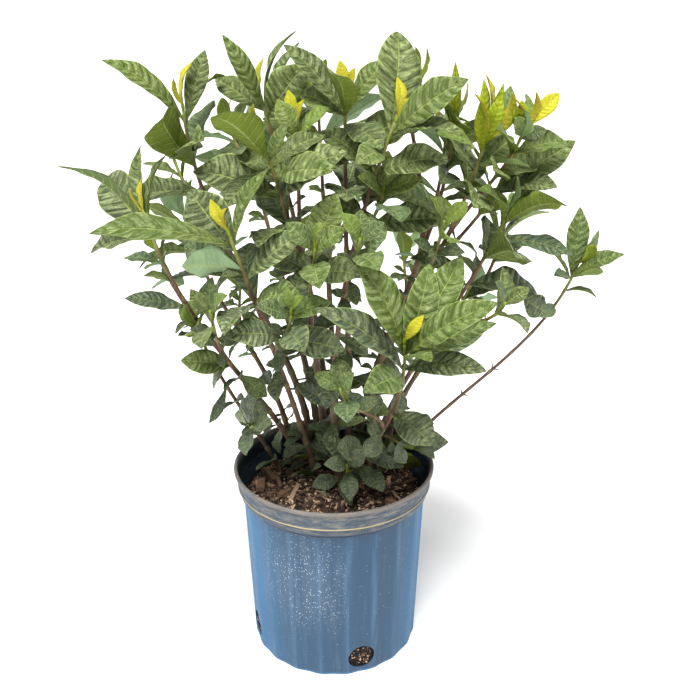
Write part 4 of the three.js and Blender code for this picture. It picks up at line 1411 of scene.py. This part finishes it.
def wood_material():
    finish = Finish("gardenia_bark", Roughness=0.62, Specular_IOR_Level=0.35)
    age, ring = finish.attribute("age"), finish.attribute("ring")
    blotch = finish.noise(9, (1, 1, 0.4), 4, 0.6)
    crack = finish.noise(2.2, (1, 1, 0.22), 3, 0.6)
    colour = finish.ramp(age + (blotch - 0.5) * 0.22, WOOD_TONES)
    cracked = finish.mix(crack.step(0.56, 0.72) * 0.45, colour, CRACK)
    ringed = finish.mix(ring * 0.55, cracked, RING_TAN)
    height = crack * 0.8 + blotch * 0.5
    return finish.feed(Base_Color=ringed, Normal=finish.bump(height, 0.5, 0.7))


bark = wood_material()
for entry in STEMS:
    node = "stem_" + entry["name"]
    bm = bmesh.new()
    bm.verts.layers.float.new("age")
    bm.verts.layers.float.new("ring")
    for shoot in [shoot for shoot in shoots if shoot["node"] == node]:
        add_wood(bm, shoot, STEM_SIDES if shoot["name"] == entry["name"] else BRANCH_SIDES)
    bmesh.ops.recalc_face_normals(bm, faces=bm.faces)
    piece = finished(bm, "wood_" + entry["name"], bark, [node])
print("wood of the last stem has", triangles(piece), "triangles")

# %% [markdown]
# A gardenia's leaf is quilted: its surface rises between each two side veins. A displacement
# map on a fine plane would show that, at many times the faces. Here a blade starts as a grid
# whose rows follow the side veins, three to a vein, and a formula lifts the rows between. The
# open blade is then given its thickness, and its underside a raised midrib.

# %% Sizes of a blade's relief
BLADE_COLUMNS = 8
VEIN_PAIRS = 10
ROWS_PER_VEIN = 3
SMALL_ROWS = 10
SMALL_COLUMNS = 6
LARGE_BLADE = 44
RELIEF_FROM = 40
RELIEF_RANGE = 45
LEAST_RELIEF = 0.25
VEIN_SWEEP = 0.12
PILLOW = 0.044
FLAT_BY_RIB = 0.16
FRILL = 0.045
TIP_NOD = 0.5
NOD_FROM = 0.6
POINTED_FROM = 0.74
POINTED = 0.26
CALM_WAVES = 0.55
ROUND_KINDS = ("bright", "grey", "quilted")
BLADE_THICKNESS = 0.7
MIDRIB_DEPTH = 0.9
MIDRIB_HALF = 0.14
BLADE_LAYERS = ("along", "across", "veins", "under", "youth", "tone", "large")
print("faces of a large blade:", 2 * BLADE_COLUMNS * VEIN_PAIRS * ROWS_PER_VEIN)

# %% The open blade
# Pillows between the veins, flat near the midrib, the margin and both ends, a frill along the
# margin, and a tip that nods
def relief(blade, tone, pillow, s, row, t):
    quilt = abs(math.sin(math.pi * row * VEIN_PAIRS)) ** 0.7
    edge = min(1, abs(s) / FLAT_BY_RIB) * (1 - abs(s) ** 4) * min(1, (1 - row) * 5, row * 6)
    frill = FRILL * math.sin(9 * math.pi * t + blade["look"]["phase"] * 2 + 2 * s) * s * s
    nod = TIP_NOD * tone * blade["length"] * max(0, t - NOD_FROM) ** 2
    half = blade["look"]["width"] / 2 * half_outline(t)
    return pillow * quilt * edge + half * frill - nod


def add_blade(bm, blade, youth, tone):
    is_large = blade["length"] > LARGE_BLADE
    columns = BLADE_COLUMNS if is_large else SMALL_COLUMNS
    rows = VEIN_PAIRS * ROWS_PER_VEIN if is_large else SMALL_ROWS
    grid = bmesh.ops.create_grid(bm, x_segments=columns, y_segments=rows, size=1)["verts"]
    size = min(1, max(LEAST_RELIEF, (blade["length"] - RELIEF_FROM) / RELIEF_RANGE))
    pillow = PILLOW * blade["look"]["width"] * (1 - 0.5 * youth) * (0.5 + 0.5 * size)
    calm = {**blade, "look": {**blade["look"], "wave": blade["look"]["wave"] * CALM_WAVES}}
    pointed = 0 if blade["look"].get("kind") in ROUND_KINDS else POINTED
    layers = bm.verts.layers.float
    for vert in grid:
        s = math.copysign(abs(vert.co.x) ** 1.25, vert.co.x)
        row = (vert.co.y + 1) / 2
        t = row + VEIN_SWEEP * abs(s) ** 1.3 * 4 * row * (1 - row)
        narrow = s * (1 - pointed * smooth_step(t, POINTED_FROM, 1))
        lift = relief(blade, tone, pillow, s, row, t)
        vert.co = blade_point(calm, t, narrow) + blade["normal"] * lift
        values = {"along": t, "across": s, "veins": row * VEIN_PAIRS,
                  "youth": youth, "tone": tone, "large": size}
        for name, value in values.items():
            vert[layers[name]] = value
    bmesh.ops.remove_doubles(bm, verts=grid, dist=WELD)


print("attributes of a blade:", ", ".join(BLADE_LAYERS))

# %% Thickness and midrib
def thicken(bm):
    bm.normal_update()
    made = bmesh.ops.solidify(bm, geom=bm.faces[:], thickness=BLADE_THICKNESS)["geom"]
    bm.normal_update()
    along, across, under = (bm.verts.layers.float[name] for name in ("along", "across", "under"))
    for vert in made:
        if isinstance(vert, bmesh.types.BMVert):
            vert[under] = 1
            rib = max(0, 1 - abs(vert[across]) / MIDRIB_HALF) * (1 - 0.7 * vert[along])
            if 0.02 < vert[along] < 0.98:
                vert.co += vert.normal * MIDRIB_DEPTH * rib


print("thickness of a blade:", BLADE_THICKNESS, "mm, and its midrib", MIDRIB_DEPTH, "mm more")

# %% [markdown]
# The youngest leaves are yellow, the next a fresh green, and the old ones a dark grey-green
# with a satin shine, partly painted as pale highlights between the veins. Old leaves have
# painted shade in the furrows along their side veins, younger ones pale threads. The undersides
# are smooth, dull and bluish, and painted lighter for the light that shines through the thin
# blade and up from the floor. Low leaves are painted grey for splashed dust and for the sky's
# sheen, and painted light makes the leaves near the top paler. One material serves them all,
# where painted pictures would need one per leaf: the attributes on the blade tell it where
# along and across the leaf it is, how young the leaf is, and which side this is.

# %% Marks that the leaves' finish is made of
class LeafMarks:
    def __init__(self, finish):
        along, across, veins, under, youth, tone, large = (
            finish.attribute(name) for name in BLADE_LAYERS)
        self.along, self.across, self.under = along, across, under
        self.tone, self.large = tone, large
        self.cloud = finish.noise(22, detail=3)
        self.mottle = finish.noise(3.0, detail=4, roughness=0.7)
        self.net = finish.grains(2.6, feature="DISTANCE_TO_EDGE").step(0.0, 0.16)
        # Streaks that follow the side veins, and a slow wave that keeps the veins from being even
        self.streak = finish.noise_over(veins * 2.3, across * 1.5, tone * 60 + along * 3, 3, 0.65)
        drift = finish.noise_over(along * 5, across * 2, tone * 40)
        self.aged = youth + (self.cloud - 0.5) * 0.2
        self.green = 1 - youth.step(0.66, 0.86)
        self.old = 1 - youth.step(0.25, 0.6)
        self.blue = (1 - tone.step(0.05, 0.42)) * self.green
        # Distance to the nearest side vein, from 0 on it to 1 midway between two
        place = veins + (drift - 0.5) * 0.4
        self.to_vein = 1 - ((place.math("FRACT") - 0.5).size() * 2)
        self.vein = (1 - self.to_vein.step(0.03, 0.3)) * self.green * large
        self.thread = (1 - self.to_vein.step(0.02, 0.09)) * self.green * large
        self.rib = 1 - across.size().step(0.015, 0.06)
        # The lowest old leaves are painted grey, for splashed dust and for a painted sheen of the
        # sky
        self.level = finish.node("ShaderNodeSeparateXYZ", inputs={0: finish.place()}, output=2) / MM
        low = 1 - 0.5 * self.level.step(270, 400) - 0.5 * self.level.step(420, 660)
        self.dust = low * self.old * (0.36 + 0.4 * self.cloud)


print("marks of a leaf: age, side, distance to the veins and the midrib, and dust")

# %% Colours of the leaves
# from the oldest leaves to the youngest
UPPER_TONES = [
    (0.0, (0.032, 0.054, 0.016)), (0.2, (0.043, 0.076, 0.009)), (0.4, (0.070, 0.120, 0.004)),
    (0.6, (0.112, 0.190, 0.002)), (0.8, (0.27, 0.38, 0.006)), (1.0, (0.53, 0.49, 0.022))]
# Undersides are paler, and painted lighter still for the light that shines through the thin blades
# and up from the floor
UNDERSIDE_AND_GLOW_TONES = [
    (0.0, (0.100, 0.148, 0.050)), (0.35, (0.130, 0.175, 0.018)), (0.55, (0.180, 0.245, 0.018)),
    (0.78, (0.38, 0.46, 0.03)), (1.0, (0.60, 0.53, 0.05))]
COOL_GREEN = (0.026, 0.070, 0.050)
OLIVE_GREEN = (0.094, 0.125, 0.014)
DIM_GREEN = (0.014, 0.028, 0.013)
DUST_AND_SKY_SHEEN = (0.130, 0.158, 0.130)
TOP_PAINTED_LIGHT = (0.165, 0.225, 0.045)
YELLOW_BASE = (0.18, 0.22, 0.02)
FURROW_SHADE = (0.014, 0.030, 0.004)
PAINTED_SHEEN = (0.64, 0.74, 0.33)
PALE_THREAD = (0.30, 0.39, 0.08)
PALE_RIB = (0.36, 0.44, 0.12)
PALE_MARGIN = (0.36, 0.45, 0.12)
BLUISH_UNDER_AND_GLOW = (0.325, 0.470, 0.260)
UNDER_VEIN = (0.070, 0.100, 0.020)
UNDER_RIB = (0.38, 0.46, 0.15)
YELLOW_VEIN = (0.26, 0.24, 0.004)


# Leaves differ: bluish ones, olive ones and some that are darker, and painted light makes those at
# the top paler
def upper_colour(finish, marks):
    olive = marks.tone.step(0.72, 0.95) * marks.green
    dim = (marks.tone * 9.7).math("FRACT") * marks.green
    cool = finish.mix(marks.blue * 0.6, finish.ramp(marks.aged, UPPER_TONES), COOL_GREEN)
    warm = finish.mix(olive * 0.4, cool, OLIVE_GREEN)
    dimmed = finish.mix(dim * 0.6, warm, DIM_GREEN)
    dusty = finish.mix(marks.dust, dimmed, DUST_AND_SKY_SHEEN)
    painted_top_light = finish.mix(marks.level.step(430, 700) * marks.green * 0.28, dusty, TOP_PAINTED_LIGHT)
    return finish.mix((1 - marks.along.step(0.0, 0.4)) * 0.3 * marks.green, painted_top_light, YELLOW_BASE)


# Painted shade darkens the furrows along the veins of old leaves, pale threads run along those of
# young ones, and painted highlights lie between the veins
def upper_relief(finish, marks, upper):
    green, old, dust = marks.green, marks.old, marks.dust
    margin = marks.across.size().step(0.92, 0.98)
    shaded_furrows = finish.mix(marks.vein * (1 - marks.rib) * (0.45 + 0.2 * old), upper, FURROW_SHADE)
    # Pale patches between the veins are a painted highlight, the sheen of the leaves
    patch = marks.streak.step(0.36, 0.7) * (0.45 + 0.55 * marks.mottle.step(0.38, 0.62))
    between = patch * (1 - 0.5 * marks.large * (1 - marks.to_vein.step(0.0, 0.45)))
    painted_sheen = between * green * (0.37 + old * (0.24 * marks.tone - 0.05) * marks.large)
    shining = finish.mix(painted_sheen, shaded_furrows, PAINTED_SHEEN)
    threaded = finish.mix(marks.thread * (0.55 - 0.42 * old), shining, PALE_THREAD)
    ribbed = finish.mix(marks.rib * 0.65 * green * (1 - dust * 0.8), threaded, PALE_RIB)
    return finish.mix(margin * 0.65 * green * (1 - dust * 0.5), ribbed, PALE_MARGIN)


def under_colour(finish, marks):
    # The underside tones carry a painted glow for light that shines through the blade and up from
    # the floor
    bluish_and_glow = finish.mix(marks.blue * 0.85, finish.ramp(marks.aged, UNDERSIDE_AND_GLOW_TONES), BLUISH_UNDER_AND_GLOW)
    veined = finish.mix(marks.vein * (1 - marks.rib) * 0.3, bluish_and_glow, UNDER_VEIN)
    return finish.mix((marks.thread * 0.9 + marks.rib * 0.8) * marks.green, veined, UNDER_RIB)


print("colours from old to young:", len(UPPER_TONES), "above and", len(UNDERSIDE_AND_GLOW_TONES), "below")

# %% Finish of the leaves
def leaf_material():
    finish = Finish("gardenia_leaf", Specular_IOR_Level=0.34)
    marks = LeafMarks(finish)
    upper = upper_relief(finish, marks, upper_colour(finish, marks))
    sided = finish.mix(marks.under, upper, under_colour(finish, marks))
    # The yellow leaves of the tips have finer and deeper coloured veins
    yellow = 1 - marks.green
    young_vein = 1 - marks.to_vein.step(0.04, 0.34)
    colour = finish.mix(
        young_vein * yellow * 0.35 + marks.streak.step(0.5, 0.7) * yellow * 0.2, sided, YELLOW_VEIN)
    veins = (marks.to_vein ** 0.5) * 0.8 * (1 - marks.rib) * marks.large
    height = veins + marks.streak * 0.8 + marks.mottle * 0.5 + marks.net * 0.15
    return finish.feed(
        Base_Color=colour, Roughness=0.24 + marks.under * 0.36 + marks.mottle * 0.2,
        Normal=finish.bump(height * (1 - marks.under * 0.5), 2.3, 1.0))


leaf_finish = leaf_material()
print("nodes in the leaves' finish:", len(leaf_finish.node_tree.nodes))

# %% [markdown]
# How young a leaf is follows from how far below the tip it stands, and from how low it hangs,
# as the oldest leaves are the lowest. Each leaf could be given its colour by hand, but only a
# few can be told apart. Those have a kind in the tables, and all others draw theirs.

# %% How young each leaf is
FRESH = {"front": 0.06, "right_top": 0.14, "left_top": 0.05}
RANK_YOUTH = [(-1, 1.0), (0, 0.55), (1, 0.36), (2, 0.2), (3, 0.1), (13, 0.02)]
GREEN_TIPS = ["left_low", "left_front_1", "mid_left_2", "middle_1", "right_mid", "far_right",
              "right_top_2", "right_back_1", "back_left", "back_right", "back_middle"]
GREEN_TIP_YOUTH = 0.66
LOW_SHADE = 0.4
SHADE_LEVELS = (270, 420)


YOUTH_CHANCE = 0.09


# The tone and the youth of a leaf: those of its kind, or else drawn, and older when low down
def tone_and_youth(blade):
    for (low, first), (high, last) in zip(RANK_YOUTH, RANK_YOUTH[1:]):
        if low <= blade["rank"] <= high:
            youth = mixed(first, last, (blade["rank"] - low) / (high - low))
    fresh = FRESH.get(blade["node"].split("_", 1)[1], 0) if blade["rank"] >= 0 else 0
    shade = LOW_SHADE * (1 - smooth_step(blade["base"].z, *SHADE_LEVELS))
    tone = filling.draw(0, 1)
    youth = youth + fresh - shade + filling.draw(-YOUTH_CHANCE, YOUTH_CHANCE)
    if blade["rank"] < 0 and blade["shoot"]["name"] in GREEN_TIPS:
        youth = GREEN_TIP_YOUTH
    if blade["look"].get("kind"):
        tone, youth = KINDS[blade["look"]["kind"]]
    return tone, min(1, max(0, youth))


print("tips with green leaves:", len(GREEN_TIPS))

# %% Leaves of each stem
def add_leaves(bm, node):
    for name in BLADE_LAYERS:
        bm.verts.layers.float.new(name)
    for blade in [blade for blade in leaves if blade["node"] == node]:
        tone, youth = tone_and_youth(blade)
        add_blade(bm, blade, youth, tone)
    thicken(bm)


for entry in STEMS:
    node = "stem_" + entry["name"]
    bm = bmesh.new()
    add_leaves(bm, node)
    piece = finished(bm, "leaves_" + entry["name"], leaf_finish, [node])
    print(piece.name, "has", triangles(piece), "triangles")

# %% [markdown]
# Each growing shoot ends in a pointed bud between its youngest leaves. A cone would be too
# sharp at its foot, so the bud is a small grid rolled to a tube with a swelling profile, made
# as the wood is. It is one piece with those leaves, and has their material.

# %% Growing tips
BUD_SIDES = 8
BUD_ROWS = 8
BUD_RADIUS = 1.9
BUD_POINT = 2
BUD_ATTRIBUTES = {"youth": 0.78, "along": 0.5, "across": 0.5, "tone": 0.5}


def add_bud(bm, shoot):
    centre, along, side, across = frame_at(shoot, 1)
    grid = bmesh.ops.create_grid(bm, x_segments=BUD_SIDES, y_segments=BUD_ROWS, size=1)["verts"]
    for vert in grid:
        angle, t = -math.pi * vert.co.x, (vert.co.y + 1) / 2
        radius = BUD_RADIUS * math.sin(math.pi * (0.25 + 0.75 * t)) ** 0.8 if t < 1 else 0
        vert.co = (centre + along * (BUD_LENGTH + BUD_POINT) * t
                   + (side * math.cos(angle) + across * math.sin(angle)) * max(radius, 0))
        for name, value in BUD_ATTRIBUTES.items():
            vert[bm.verts.layers.float[name]] = value
    close_tube(bm, grid, BUD_SIDES)


for shoot in growing:
    node = "tip_" + shoot["name"]
    bm = bmesh.new()
    add_leaves(bm, node)
    add_bud(bm, shoot)
    finished(bm, "growth_" + shoot["name"], leaf_finish, [node])
print("growing tips:", len(growing))
